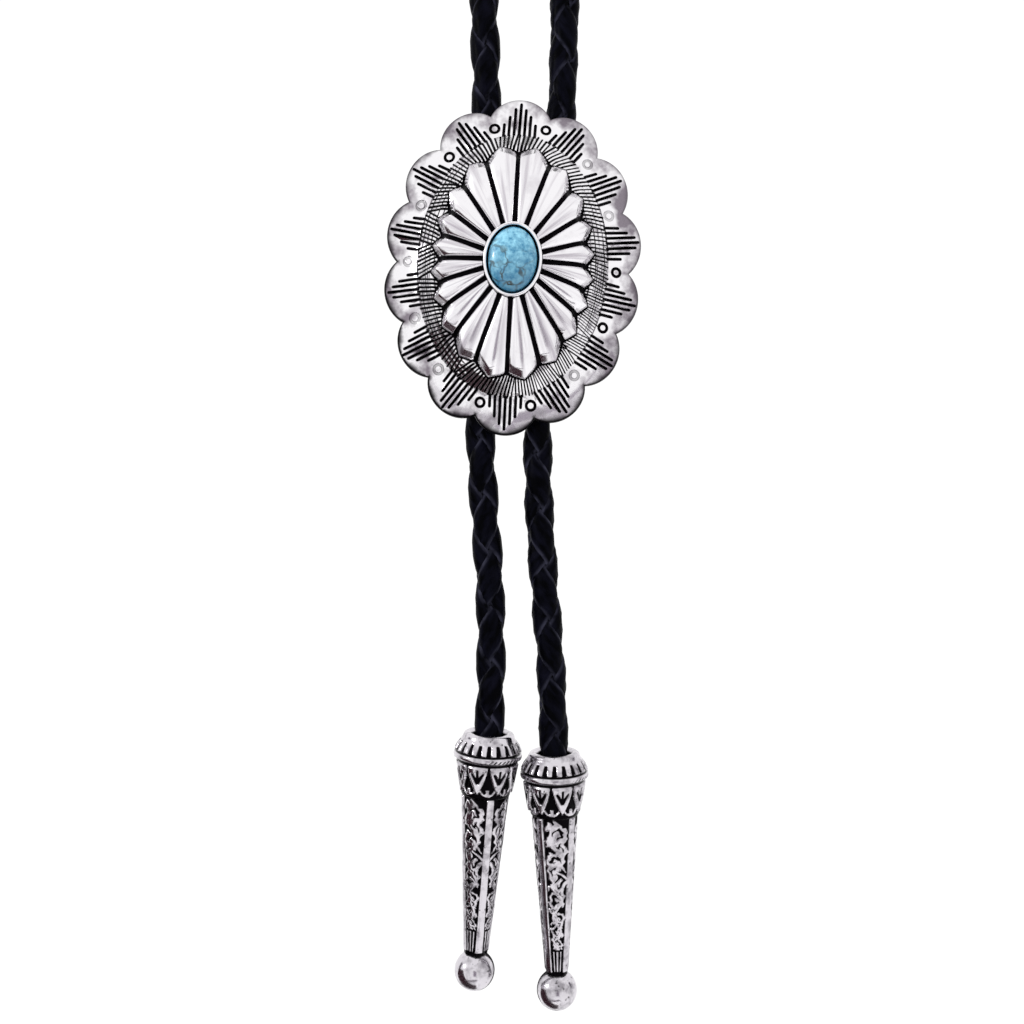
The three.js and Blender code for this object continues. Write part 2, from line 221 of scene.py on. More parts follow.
# Copies a mesh so many times, and adds each copy's number and its points' places, under the names of
# the axes, to the values
def numberedCopies(tree, values, mesh, count, axes):
    single = addNode(tree, "GeometryNodeGeometryToInstance", {0: mesh})
    copies = addNode(tree, "GeometryNodeDuplicateElements", {0: single, "Amount": count}, None,
                     domain="INSTANCE")
    numbered = addNode(tree, "GeometryNodeStoreNamedAttribute", {
        "Geometry": copies["Geometry"], "Name": "copyNumber", "Value": copies["Duplicate Index"]},
        domain="INSTANCE", data_type="INT")
    values["number"] = addNode(tree, "GeometryNodeInputNamedAttribute", {"Name": "copyNumber"},
                               "Attribute", data_type="INT")
    place = addNode(tree, "GeometryNodeInputPosition")
    values.update(zip(axes, addNode(tree, "ShaderNodeSeparateXYZ", {0: place}, None)))
    return addNode(tree, "GeometryNodeRealizeInstances", {0: numbered})


# Stores three values on each point as one vector, and moves the point to its place
def markAndMove(tree, values, mesh, name, marks, place):
    mark = addNode(tree, "ShaderNodeCombineXYZ", {i: values[m] for i, m in enumerate(marks)})
    marked = addNode(tree, "GeometryNodeStoreNamedAttribute", {
        "Geometry": mesh, "Name": name, "Value": mark}, domain="POINT", data_type="FLOAT_VECTOR")
    return addNode(tree, "GeometryNodeSetPosition", {"Geometry": marked, "Position": place})


def endTree(tree, mesh, material):
    whole = addNode(tree, "GeometryNodeRealizeInstances", {0: mesh})
    finished = addNode(tree, "GeometryNodeSetMaterial", {0: whole, "Material": material})
    addNode(tree, "NodeGroupOutput", {0: finished}, None)
    return tree


# Runs a Geometry Nodes tree on a mesh, and keeps the result as a plain mesh object
def grow(name, tree, mesh, settings):
    source = newObject(name + "_source", mesh)
    modifier = source.modifiers.new(name, "NODES")
    modifier.node_group = tree
    for item in tree.interface.items_tree:
        if item.in_out == "INPUT" and item.name in settings:
            modifier[item.identifier] = settings[item.name]
    graph = bpy.context.evaluated_depsgraph_get()
    grown = bpy.data.meshes.new_from_object(
        source.evaluated_get(graph), preserve_all_data_layers=True, depsgraph=graph)
    bpy.data.objects.remove(source)
    bpy.data.meshes.remove(mesh)
    grown.name = name
    return newObject(name, grown)


# Round braid of four flat laces along a line. Each lace starts as an upright cylinder, whose ring is
# the lace's section and whose height is the way along it, and is then wound round the line.
def braidTree(settings):
    tree, values = startTree("roundBraid", settings)
    line = addNode(tree, "GeometryNodeMeshToCurve", {"Mesh": values["Geometry"]})
    values["length"] = addNode(tree, "GeometryNodeCurveLength", {"Curve": line})
    lace = addNode(tree, "GeometryNodeMeshCylinder", {
        "Vertices": values["sectionPoints"], "Side Segments": values["steps"], "Radius": 1, "Depth": 1})
    laces = numberedCopies(tree, values, lace, 4, "xyz")
    addSteps(tree, values, [
        ("odd", "MODULO", "number", 2.0),
        ("hand", "MULTIPLY_ADD", "odd", -2.0, 1.0),
        ("half", "MULTIPLY", "number", 0.5),
        ("lane", "FLOOR", "half"),
        ("laneTurn", "MULTIPLY", "lane", math.pi),
        # Section: flat in the middle, with round edges
        ("xSize", "ABSOLUTE", "x"),
        ("xFlat", "POWER", "xSize", 0.72),
        ("xSign", "SIGN", "x"),
        ("share", "MULTIPLY", "xFlat", "xSign"),
        ("across", "MULTIPLY", "share", "halfWidth"),
        # The lace lies askew, along the laces that cross it, and starts and ends in one flat cut
        ("slant", "MULTIPLY", "share", "hand"),
        ("shift", "MULTIPLY", "slant", "slantReach"),
        ("span", "MULTIPLY_ADD", "slantReach", 2.0, "length"),
        ("height", "ADD", "z", 0.5),
        ("fromFirst", "MULTIPLY", "height", "span"),
        ("fromStart", "SUBTRACT", "fromFirst", "slantReach"),
        ("uncut", "SUBTRACT", "fromStart", "shift"),
        ("cutBelow", "MAXIMUM", "uncut", 0.0),
        ("place", "MINIMUM", "cutBelow", "length"),
        # Way along the lace, and the turn of its middle line
        ("way", "ADD", "place", "shift"),
        ("whole", "ADD", "way", "start"),
        ("turns", "DIVIDE", "whole", "pitch"),
        ("turn", "MULTIPLY_ADD", "turns", 2 * math.pi, "phase"),
        ("middleAngle", "MULTIPLY_ADD", "turn", "hand", "laneTurn"),
        ("laceAngle", "MULTIPLY_ADD", "across", 0.5, "middleAngle"),
        ("twistedAngle", "MULTIPLY_ADD", "whole", "twist", "laceAngle"),
        # Over and under
        ("doubleTurn", "MULTIPLY", "turn", 2.0),
        ("swing", "COSINE", "doubleTurn"),
        ("signedSwing", "MULTIPLY", "swing", "hand"),
        ("middleRadius", "MULTIPLY_ADD", "signedSwing", "weave", "midRadius"),
        ("faceRadius", "MULTIPLY_ADD", "y", "halfThickness", "middleRadius"),
        ("shareSquared", "MULTIPLY", "share", "share"),
        ("edgeDrop", "MULTIPLY", "shareSquared", "weave"),
        ("radius", "MULTIPLY_ADD", "edgeDrop", -0.45, "faceRadius"),
        ("noiseWay", "ADD", "place", "start"),
    ])
    sample = addNode(tree, "GeometryNodeSampleCurve", {"Curves": line, "Length": values["place"]}, None,
                     mode="LENGTH")
    values.update({
        "point": sample["Position"],
        "tangent": sample["Tangent"],
        "axis": addNode(tree, "ShaderNodeCombineXYZ", {1: values["neckAxis"]}),
        "uneven": addNode(tree, "ShaderNodeTexNoise", {
            "W": values["noiseWay"], "Scale": values["wanderScale"], "Detail": 1.0}, noise_dimensions="1D"),
    })
    addSteps(tree, values, [
        ("unevenOff", "SUBTRACT", "uneven", 0.5),
        ("wandering", "MULTIPLY", "unevenOff", "wander"),
        ("angle", "MULTIPLY_ADD", "wandering", 2.0, "twistedAngle"),
        ("cosine", "COSINE", "angle"),
        ("sine", "SINE", "angle"),
    ])
    # Directions out from the neck and sideways, square to the line
    addSteps(tree, values, [
        ("fromAxis", "SUBTRACT", "point", "axis"),
        ("level", "MULTIPLY", "fromAxis", (1.0, 1.0, 0.0)),
        ("alongPart", "PROJECT", "level", "tangent"),
        ("square", "SUBTRACT", "level", "alongPart"),
        ("out", "NORMALIZE", "square"),
        ("side", "CROSS_PRODUCT", "tangent", "out"),
        ("outPart", "MULTIPLY", "out", "cosine"),
        ("sidePart", "MULTIPLY", "side", "sine"),
        ("direction", "ADD", "outPart", "sidePart"),
        ("arm", "MULTIPLY", "direction", "radius"),
        ("wound", "ADD", "point", "arm"),
    ], "ShaderNodeVectorMath")
    wound = markAndMove(tree, values, laces, "onLace", ("whole", "share", "number"), values["wound"])
    merged = addNode(tree, "GeometryNodeMergeByDistance", {"Geometry": wound, "Distance": 0.001 * mm})
    smooth = addNode(tree, "GeometryNodeSetShadeSmooth", {0: merged})
    return endTree(tree, smooth, values["material"])


def newMaterial(name):
    material = bpy.data.materials.new(name)
    material.use_nodes = True
    return material, material.node_tree, material.node_tree.nodes["Principled BSDF"]


# Waxed black leather: near black, with a painted blue-grey highlight along the laces' edges, broken up by
# fine grain that runs along each lace. A scale is how many grains or pores lie in a length.
leather = {
    "dark": "#010103",
    "dyed": "#0a0a15",
    # Painted highlight: the blue-grey of the laces' edges
    "wearAndSheen": "#333341",
    "edgeHighlight": (0.68, 0.92),      # where the painted highlight starts and is full, across half a lace
    "grainScale": (0.42 / mm, 2.2, 9.1),   # along a lace, across half of it, and from lace to lace
    "poreScale": 2.6 / mm,
    "poreDepth": 0.06 * mm,
    "roughness": (0.26, 0.5),
    "shine": 0.02,
}


def leatherMaterial():
    material, tree, surface = newMaterial("waxedBlackLeather")
    onLace = addNode(tree, "ShaderNodeAttribute", output="Vector", attribute_name="onLace")
    share = addNode(tree, "ShaderNodeSeparateXYZ", {0: onLace}, 1)
    off = addNode(tree, "ShaderNodeMath", {0: share}, operation="ABSOLUTE")
    edge = addNode(tree, "ShaderNodeMapRange", {
        "Value": off, "From Min": leather["edgeHighlight"][0], "From Max": leather["edgeHighlight"][1]},
        interpolation_type="SMOOTHSTEP")
    stretched = addNode(tree, "ShaderNodeMapping", {0: onLace, "Scale": leather["grainScale"]})
    grain = addNode(tree, "ShaderNodeTexNoise", {"Vector": stretched, "Scale": 1.0, "Detail": 4.0})
    patches = addNode(tree, "ShaderNodeMapRange", {"Value": grain, "From Min": 0.4, "From Max": 0.7})
    # Painted highlight: a lighter blue-grey along the laces' edges, broken by the grain
    wearAndSheen = addNode(tree, "ShaderNodeMath", {0: edge, 1: patches}, operation="MULTIPLY")
    dyed = addNode(tree, "ShaderNodeMix", {
        0: patches, 6: hexColour(leather["dark"]), 7: hexColour(leather["dyed"])}, 2, data_type="RGBA")
    place = addNode(tree, "ShaderNodeTexCoord", output="Object")
    pores = addNode(tree, "ShaderNodeTexNoise", {
        "Vector": place, "Scale": leather["poreScale"], "Detail": 3.0})
    setInputs(surface, {
        "Base Color": addNode(tree, "ShaderNodeMix", {
            0: wearAndSheen, 6: dyed, 7: hexColour(leather["wearAndSheen"])}, 2, data_type="RGBA"),
        "Roughness": addNode(tree, "ShaderNodeMapRange", {
            "Value": grain, "To Min": leather["roughness"][0], "To Max": leather["roughness"][1]}),
        "Specular IOR Level": leather["shine"],
        "Normal": addNode(tree, "ShaderNodeBump", {
            "Height": pores, "Strength": 0.6, "Distance": leather["poreDepth"]}),
    })
    return material


# Silver as it is on the bezel, and how the other finishes differ from it
silver = {
    "colour": "#f1eff2",
    "tarnish": "#9a909d",
    "oxide": "#0c0a0d",
    "roughness": 0.17,
    "dulling": 0.22,           # how much rougher tarnish and oxide are
    "smudgeScale": 0.26 / mm,
    "smudgeStart": 0.52,       # the lower, the more of a face is smudged
    "smudges": 0.2,
    "rimPaintedShade": 0.0,        # painted shade: how much greyer the plate is made towards its rim
    "waviness": 0.05 * mm,
}
finishes = {
    # Hand-polished, bright with soft grey clouds, and greyed towards the rim as painted shade
    "rubbedSilver": {"tarnish": "#827983", "smudges": 0.95, "rimPaintedShade": 0.17},
    # Polished along each petal; the grey streaks down its middle are partly polish marks and partly painted
    # reflection
    "streakAndReflectionSilver": {"grain": "onPetal", "grainStretch": (1.9, 0.8, 5.3), "streaks": 0.7, "smudges": 0.3,
                       "waviness": 0.02 * mm},
    # Clean and bright, as a soldered bezel is
    "brightSilver": {},
    # Cast, dipped in blackening and rubbed bright again, with pits left dark
    "antiquedSilver": {"colour": "#d6d2d8", "tarnish": "#4b444e", "roughness": 0.15, "smudgeStart": 0.45,
                       "smudgeScale": 0.43 / mm, "smudges": 0.85, "pits": 0.7, "waviness": 0.06 * mm},
    # Plain spring steel, greyer and duller than the silver
    "clipSteel": {"colour": "#b9b8bb", "tarnish": "#8c8a8e", "roughness": 0.33, "smudgeScale": 0.12 / mm,
                  "smudges": 0.6, "waviness": 0.03 * mm},
}


# Metal that is bright where it is rubbed and black where polish does not reach. The attribute black says
# where, and on the concho's rim edge it holds painted shade; smudges in object space keep large faces from
# looking like chrome.
def silverMaterial(name):
    settings = {**silver, **finishes[name]}
    material, tree, surface = newMaterial(name)
    place = addNode(tree, "ShaderNodeTexCoord", output="Object")
    smudge = addNode(tree, "ShaderNodeTexNoise", {
        "Vector": place, "Scale": settings["smudgeScale"], "Detail": 3.0, "Roughness": 0.6})
    edge = addNode(tree, "ShaderNodeAttribute", output="Fac", attribute_name="nearEdge")
    # Random smudges, with painted shade added towards the concho's rim
    lifted = addNode(tree, "ShaderNodeMath", {0: edge, 1: settings["rimPaintedShade"], 2: smudge},
                     operation="MULTIPLY_ADD")
    veil = addNode(tree, "ShaderNodeMapRange", {
        "Value": lifted, "From Min": settings["smudgeStart"], "From Max": 0.74,
        "To Max": settings["smudges"]})
    if "grain" in settings:
        along = addNode(tree, "ShaderNodeAttribute", output="Vector", attribute_name=settings["grain"])
        stretched = addNode(tree, "ShaderNodeMapping", {0: along, "Scale": settings["grainStretch"]})
        streak = addNode(tree, "ShaderNodeTexNoise", {"Vector": stretched, "Scale": 1.0, "Detail": 3.0})
        lines = addNode(tree, "ShaderNodeMapRange", {
            "Value": streak, "From Min": 0.44, "From Max": 0.68, "To Max": settings["streaks"]})
        values = {"lines": lines, "veil": veil, "across": addNode(tree, "ShaderNodeSeparateXYZ", {0: along})}
        addSteps(tree, values, [
            ("acrossSquared", "MULTIPLY", "across", "across"),
            ("middle", "SUBTRACT", 1.0, "acrossSquared"),
            # Streaks weighted to the petal's middle: partly polish marks, partly painted reflection
            ("middleStreaksAndReflection", "MULTIPLY", "lines", "middle"),
            ("both", "MAXIMUM", "middleStreaksAndReflection", "veil"),
        ])
        veil = values["both"]
    wearAndSheen = addNode(tree, "ShaderNodeMix", {
        0: veil, 6: hexColour(settings["colour"]), 7: hexColour(settings["tarnish"])}, 2, data_type="RGBA")
    black = addNode(tree, "ShaderNodeAttribute", output="Fac", attribute_name="black")
    oxide = addNode(tree, "ShaderNodeMapRange", {"Value": black, "From Min": 0.15, "From Max": 0.8},
                    interpolation_type="SMOOTHSTEP")
    if "pits" in settings:
        specks = addNode(tree, "ShaderNodeTexNoise", {"Vector": place, "Scale": 1.3 / mm, "Detail": 2.0})
        pitted = addNode(tree, "ShaderNodeMapRange", {
            "Value": specks, "From Min": 0.62, "From Max": 0.72, "To Max": settings["pits"]},
            interpolation_type="SMOOTHSTEP")
        oxide = addNode(tree, "ShaderNodeMath", {0: oxide, 1: pitted}, operation="MAXIMUM")
    dull = addNode(tree, "ShaderNodeMath", {0: veil, 1: oxide}, operation="MAXIMUM")
    waves = addNode(tree, "ShaderNodeTexNoise", {"Vector": place, "Scale": 0.26 / mm, "Detail": 2.0})
    rough = settings["roughness"]
    setInputs(surface, {
        "Metallic": 1,
        "Base Color": addNode(tree, "ShaderNodeMix", {
            0: oxide, 6: wearAndSheen, 7: hexColour(settings["oxide"])}, 2, data_type="RGBA"),
        "Roughness": addNode(tree, "ShaderNodeMapRange", {
            "Value": dull, "To Min": rough, "To Max": rough + settings["dulling"]}),
        "Normal": addNode(tree, "ShaderNodeBump", {
            "Height": waves, "Strength": 0.5, "Distance": settings["waviness"]}),
    })
    return material


def makeCords():
    shared = {
        **braid, "material": leatherMaterial(),
        "slantReach": braid["halfWidth"] * braid["pitch"] / (4 * math.pi),
        "phase": math.pi / 2 - 2 * math.pi * cord["firstCrossing"] / braid["pitch"],
        "twist": cord["faceTurn"] / cordLength,
    }
    tree = braidTree({**shared, "start": 0.0, "steps": 1})
    pieces = {}
    for name, (start, end, node) in stretches.items():
        points = stretchOf(start, end)
        mesh = bpy.data.meshes.new(name)
        mesh.from_pydata(points, [(i, i + 1) for i in range(len(points) - 1)], [])
        steps = int((end - start) / cord["laceStep"])
        pieces[name] = grow(name, tree, mesh, {**shared, "start": start, "steps": steps})
        pieces[name].data.set_sharp_from_angle(angle=math.radians(75))
        attach(pieces[name], "cord", node)
    return pieces


cords = makeCords()
print("cords braided:", {name: len(piece.data.polygons) for name, piece in cords.items()})

# Concho. Its own plane is drawn across and up, and its height stands out towards -Y.
concho = {
    "width": 42 * mm,
    "height": 54.6 * mm,
    "lobes": 14,
    "lobeDepth": 2.1 * mm,
    "lobePoints": 24,
    "tilt": math.radians(3.1),
    "rimThickness": 1.1 * mm,
    "rimRound": 0.3 * mm,
    "rimShade": 2.6 * mm,      # how far the painted shade reaches in from the rim
    "backDull": 1.5,           # how much painted shade greys the back, where the rim's own edge has 1
    "sheet": 1.2 * mm,
    "domeWidth": 26 * mm,
    "domeHeight": 37.7 * mm,
    "bandWidth": 2.4 * mm,
    "plateRise": 1.2 * mm,     # heights, each counted from the one before
    "bandRise": 2 * mm,
    "petalRise": 2.8 * mm,
    "bezelHeight": 0.9 * mm,
    "bezelDepth": 1.8 * mm,
    "bezelWall": 0.5 * mm,
    "stoneWidth": 7.7 * mm,
    "stoneLength": 10.2 * mm,
    "gap": 0.3 * mm,
}
petals = {
    "count": 20,
    "point": 1.25 * mm,        # how far the middle of a petal's end stands out
    "crown": 0.34 * mm,
    "edgeDrop": 0.1 * mm,
    "groove": 0.72 * mm,
    "grooveDepth": 0.7 * mm,
    "footGap": 0.12 * mm,      # dark line round the bezel
    "endLine": 0.28 * mm,      # dark line along the petals' ends
    # Share of the way out from the bezel, and share of the rise there
    "rise": ((0, 1), (0.22, 0.97), (0.5, 0.88), (0.76, 0.73), (0.89, 0.58), (1, 0.12)),
}
# Stamping. Pairs are the least and the most that the hand-set punches give.
stamps = {
    "lineWidth": 0.5 * mm,
    "depth": 0.22 * mm,
    "slope": 0.09 * mm,        # width of a groove's slanted wall
    "rayStep": 0.84 * mm,
    "rayLengths": (4.9 * mm, 4.3 * mm, 3.1 * mm, 1.8 * mm),    # from the middle ray outwards
    "groupDrift": (0, 0.5 * mm),
    "groupLean": (-0.03, 0.03),
    "rayDrift": (-0.15 * mm, 0.15 * mm),
    "ringRadius": 0.66 * mm,
    "ringSizes": (0.95, 1.12),
    "ringInset": (1.95 * mm, 2.45 * mm),
    "ringBlack": (1, 0.42, 0.4, 1, 1, 0.45, 1, 1, 0.45, 0.4, 0.42, 0.45, 1, 1),    # some are worn pale
    "hatchStep": 0.66 * mm,
    "fineStep": 0.46 * mm,     # where the band is struck finer
    "fineAt": 0.38,            # middle of that stretch, as a share of the way round from the top
    "fineReach": 0.16,
    "hatchGroup": 8,           # strokes that one blow of the punch makes
    "hatchLean": 0.36,
    "hatchBlack": (0.75, 1.0),
    "hatchFoot": (0.6, 0.9),   # how far a stroke runs in between the petals, as a share of their points
    "hatchHead": (-0.25 * mm, 0.12 * mm),  # how far it runs past the band's foot
    "hatchWidth": 0.53,        # as a share of the step
    "hatchWidths": (0.85, 1.25),
    "hatchWear": 0.14,         # how much thinner the strokes are on the right
    "hatchRows": (-0.2, 0.12, 0.42, 0.72, 0.98),   # lines round the band, as shares of its width
    "rowWidth": 0.22 * mm,
    "rowsRight": 0.62,         # how well these lines show on the right, where the left has 1
    # Painted shade: how black the rim's edge wall and outline are made
    "paintedEdgeShade": 0.95,
    "ovalPoints": 200,
    "seed": 7,
}
slideLow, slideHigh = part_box("slide_clip")
bandTop = concho["plateRise"] + concho["bandRise"]
bezelFoot = bandTop + concho["petalRise"]
bezelTop = bezelFoot + concho["bezelHeight"]
stoneSeat = bezelTop - concho["bezelDepth"]
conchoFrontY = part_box("concho")[1].y - concho["rimThickness"]
conchoPlace = (
    Matrix.Translation(((slideLow.x + slideHigh.x) / 2, conchoFrontY, (slideLow.z + slideHigh.z) / 2))
    @ Matrix.Rotation(concho["tilt"], 4, "Y")
)
notchOval = np.array([concho["width"], concho["height"]]) / 2 - concho["lobeDepth"]
domeOval = np.array([concho["domeWidth"], concho["domeHeight"]]) / 2
bandOval = domeOval + concho["bandWidth"]
stoneOval = np.array([concho["stoneWidth"], concho["stoneLength"]]) / 2
seatOval = stoneOval + concho["gap"]
bezelOval = seatOval + concho["bezelWall"]


# So many even shares of a whole
def evenly(count):
    return np.arange(count) / count


# Points at turns counted clockwise from the top, on an oval of these half sizes
def turned(across, up, turn):
    return np.stack([across * np.sin(turn), up * np.cos(turn)], axis=1)


# Angle clockwise from the top, and distance from the middle
def polar(points):
    return np.arctan2(points[:, 0], points[:, 1]), np.linalg.norm(points, axis=1)


# Distance from the middle of an oval to its edge at an angle
def ovalReach(oval, angle):
    return 1 / np.hypot(np.sin(angle) / oval[0], np.cos(angle) / oval[1])


# Many turns round an oval, and the distance along its edge to each
def ovalRun(oval):
    turn = np.linspace(0, 2 * np.pi, 4001)
    return turn, runAlong(turned(*oval, turn))


# Points and outward normals on an oval, at shares of its length
def ovalPlaces(oval, shares):
    turn, run = ovalRun(oval)
    points = turned(*oval, np.interp(shares * run[-1], run, turn))
    normals = points / oval ** 2
    return points, normals / np.linalg.norm(normals, axis=1)[:, None]


# The scalloped outline, moved out by an amount
def scallops(out):
    shares = evenly(concho["lobes"] * concho["lobePoints"])
    points, normals = ovalPlaces(notchOval, shares)
    chord = ovalRun(notchOval)[1][-1] / concho["lobes"]
    radius = (chord ** 2 / 4 + concho["lobeDepth"] ** 2) / (2 * concho["lobeDepth"])
    fromCrest = ((shares * concho["lobes"] + 0.5) % 1 - 0.5) * chord
    push = np.sqrt(radius ** 2 - fromCrest ** 2) - radius + concho["lobeDepth"]
    return points + normals * (push + out)[:, None]


# Distance from the middle to the pointed ends of the petals
def petalEnd(angle):
    off = abs((angle * petals["count"] / (2 * np.pi)) % 1 * 2 - 1)
    return ovalReach(domeOval, angle) - petals["point"] * off


# Smooth height of the concho's front, before the stamping: rim, plate, band, floor between the petals
def frontHeight(points):
    angle, reach = polar(points)
    bezel, dome, band, notch = (ovalReach(o, angle) for o in (bezelOval, domeOval, bandOval, notchOval))
    share = np.clip((reach - bezel) / (dome - bezel), 0, 1)
    rise = np.interp(share, *zip(*petals["rise"]))
    under = np.clip((dome - petals["point"] - reach) / petals["point"], 0, 1)
    floor = bandTop + (concho["petalRise"] * rise - petals["grooveDepth"]) * under
    onBand = np.clip((reach - dome) / (band - dome), 0, 1)
    slope = bandTop - concho["bandRise"] * onBand
    onPlate = np.clip((reach - band) / (notch - band), 0, 1)
    plate = concho["plateRise"] * (1 - onPlate) ** 2
    height = np.where(reach < dome, floor, np.where(reach < band, slope, plate))
    return np.where(reach < bezel - concho["bezelWall"] / 2, stoneSeat, height)


# The direction square to a normal, and the normal itself turned a little towards it
def leaning(normal, lean):
    side = np.array([normal[1], -normal[0]])
    return side, normal * math.cos(lean) + side * math.sin(lean)


# Seven rays at each lobe, from the band outwards: rows of start, end, half width and blackness
def rayLines(chance):
    lines = []
    count = len(stamps["rayLengths"])
    for crest, normal in zip(*ovalPlaces(notchOval, evenly(concho["lobes"]))):
        drift = chance.uniform(*stamps["groupDrift"])
        side, along = leaning(normal, chance.uniform(*stamps["groupLean"]))
        for ray in range(1 - count, count):
            base = crest + side * ray * stamps["rayStep"]
            # Where the ray's line meets the band's foot
            a = np.sum((along / bandOval) ** 2)
            b = -2 * np.sum(base * along / bandOval ** 2)
            c = np.sum((base / bandOval) ** 2) - 1
            back = (-b - math.sqrt(b * b - 4 * a * c)) / (2 * a)
            start = base - along * (back + stamps["slope"])
            length = stamps["rayLengths"][abs(ray)] + drift + chance.uniform(*stamps["rayDrift"])
            lines.append((start, start + along * length, stamps["lineWidth"] / 2, 1.0))
    return lines


# A ring in each notch between two lobes: rows of centre, radius and blackness
def notchRings(chance):
    rings = []
    between = (np.arange(concho["lobes"]) + 0.5) / concho["lobes"]
    for point, normal, black in zip(*ovalPlaces(notchOval, between), stamps["ringBlack"]):
        middle = point - normal * chance.uniform(*stamps["ringInset"])
        rings.append((middle, stamps["ringRadius"] * chance.uniform(*stamps["ringSizes"]), black))
    return rings


# Strokes round the band, in groups that lean alike: rows as the rays'
def hatchLines(chance):
    lines, shares, steps = [], [0.0], []
    middleOval = (domeOval + bandOval) / 2
    wayRound = ovalRun(middleOval)[1][-1]
    while shares[-1] < 1:
        fine = max(0, 1 - abs(shares[-1] - stamps["fineAt"]) / stamps["fineReach"])
        steps.append(stamps["hatchStep"] + (stamps["fineStep"] - stamps["hatchStep"]) * min(1, 2 * fine))
        shares.append(shares[-1] + steps[-1] / wayRound)
    reach = concho["bandWidth"] / 2
    for number, (point, normal) in enumerate(zip(*ovalPlaces(middleOval, np.array(shares[:-1])))):
        if number % stamps["hatchGroup"] == 0:
            lean = chance.uniform(-1, 1) * stamps["hatchLean"]
            black = chance.uniform(*stamps["hatchBlack"])
        along = leaning(normal, lean)[1]
        inner = point - along * (reach + petals["point"] * chance.uniform(*stamps["hatchFoot"]))
        outer = point + along * (reach + chance.uniform(*stamps["hatchHead"]))
        wearAndSheen = stamps["hatchWear"] * np.clip(normal[0], 0, 1)
        wide = stamps["hatchWidth"] * steps[number] * (chance.uniform(*stamps["hatchWidths"]) - wearAndSheen)
        lines.append((inner, outer, wide / 2, black))
    return lines


# How deep and how black the stamping is at each point, from 0 to 1
def stampDepth(points, lines, rings, perChunk=2000):
    start, end, halves, black = (np.array(column) for column in zip(*lines))
    way = end - start
    depth, dark = np.zeros(len(points)), np.zeros(len(points))
    for first in range(0, len(points), perChunk):
        chunk = slice(first, first + perChunk)
        offset = points[chunk, None, :] - start[None]
        share = np.clip(np.sum(offset * way, axis=2) / np.sum(way ** 2, axis=1), 0, 1)
        far = np.linalg.norm(offset - share[:, :, None] * way, axis=2)
        sunk = np.clip((halves - far) / stamps["slope"], 0, 1)
        depth[chunk] = sunk.max(axis=1)
        dark[chunk] = (sunk * black).max(axis=1)
    angle, reach = polar(points)
    # Lines round the band show on the left, less on the right, and fade out at the top and bottom
    sideways = np.maximum(-np.sin(angle), stamps["rowsRight"] * np.sin(angle))
    kept = np.clip((sideways - 0.3) / 0.35, 0, 1)
    rows = [(abs(reach - ovalReach(domeOval + concho["bandWidth"] * share, angle)), stamps["rowWidth"] / 2,
             kept * (0.7 + 0.3 * np.sin(5 * angle + 9 * share))) for share in stamps["hatchRows"]]
    half = stamps["lineWidth"] / 2
    for middle, radius, black in rings:
        rows.append((abs(np.linalg.norm(points - middle, axis=1) - radius), half, black))
    for far, half, black in rows:
        sunk = np.clip((half - far) / stamps["slope"], 0, 1)
        depth = np.maximum(depth, sunk * np.minimum(1, 2 * black))
        dark = np.maximum(dark, sunk * black)
    return depth, dark


# Closed outline at a distance round a straight line
def roundLine(start, end, half, steps):
    along = (end - start) / np.linalg.norm(end - start)
    side = np.array([-along[1], along[0]])
    turns = np.linspace(-np.pi / 2, np.pi / 2, steps + 1)
    ends = [np.cos(t) * along + np.sin(t) * side for t in turns]
    return [end + half * e for e in ends] + [start - half * e for e in ends]


# Turns closed outlines and loose points into triangles, each edge of an outline kept
def triangulate(outlines, loose):
    points, edges = [], []
    for outline in outlines:
        first, count = len(points), len(outline)
        points.extend(outline)
        edges += [(first + i, first + (i + 1) % count) for i in range(count)]
    flat = [Vector(p) / mm for p in points + loose]
    places, _, faces, *_ = delaunay_2d_cdt(flat, edges, [], 0, 1e-5)
    return np.array([p[:] for p in places]) * mm, np.array(faces)


# The front as triangles that follow each groove: both edges of every line, ring and row, the petals'
# ends, and loose points between them
def conchoFront(lines, rings, outline):
    slope, shares = stamps["slope"], evenly(stamps["ovalPoints"])
    outlines = [outline]
    for start, end, half, _ in lines:
        outlines += [roundLine(start, end, half, 4), roundLine(start, end, half - slope, 2)]
    for share in stamps["hatchRows"]:
        for out in (-stamps["rowWidth"] / 2, 0, stamps["rowWidth"] / 2):
            outlines.append(ovalPlaces(domeOval + concho["bandWidth"] * share + out, shares)[0])
    around = 2 * np.pi * evenly(8 * petals["count"])
    for out in (0, petals["endLine"] - slope, petals["endLine"]):
        reach = petalEnd(around) + out
        outlines.append(turned(reach, reach, around))
    half = stamps["lineWidth"] / 2
    turns = 2 * np.pi * evenly(20)
    unitCircle = np.stack([np.cos(turns), np.sin(turns)], axis=1)
    for middle, radius, _ in rings:
        for out in (-half, slope - half, half - slope, half):
            outlines.append(middle + (radius + out) * unitCircle)
    loose = []
    hair = 1e-9                # keeps the loose points off the outlines
    for inner, outer, steps in (
        (bandOval, notchOval, (0, 0.15, 0.3, 0.5, 0.75, 1)),
        (domeOval, bandOval, (0, 0.5)),
        (bezelOval, domeOval - petals["point"], (0, 0.3, 0.6, 0.8, 0.9, 1)),
        (bezelOval * 0, bezelOval, (0.3, 0.6, 0.9, 0.95)),
    ):
        for step in steps:
            loose += list(ovalPlaces(inner + (outer - inner) * step + hair, shares)[0])
    points, faces = triangulate(outlines, loose)
    angle, reach = polar(points[faces].mean(axis=1))
    return points, faces[reach < np.interp(angle, *polar(outline), period=2 * np.pi)]


# Fills the wall between two rings of as many points
def ringWall(first, second, count):
    around = np.arange(count)
    after = (around + 1) % count
    return np.stack([first + around, second + around, second + after, first + after], axis=1).tolist()


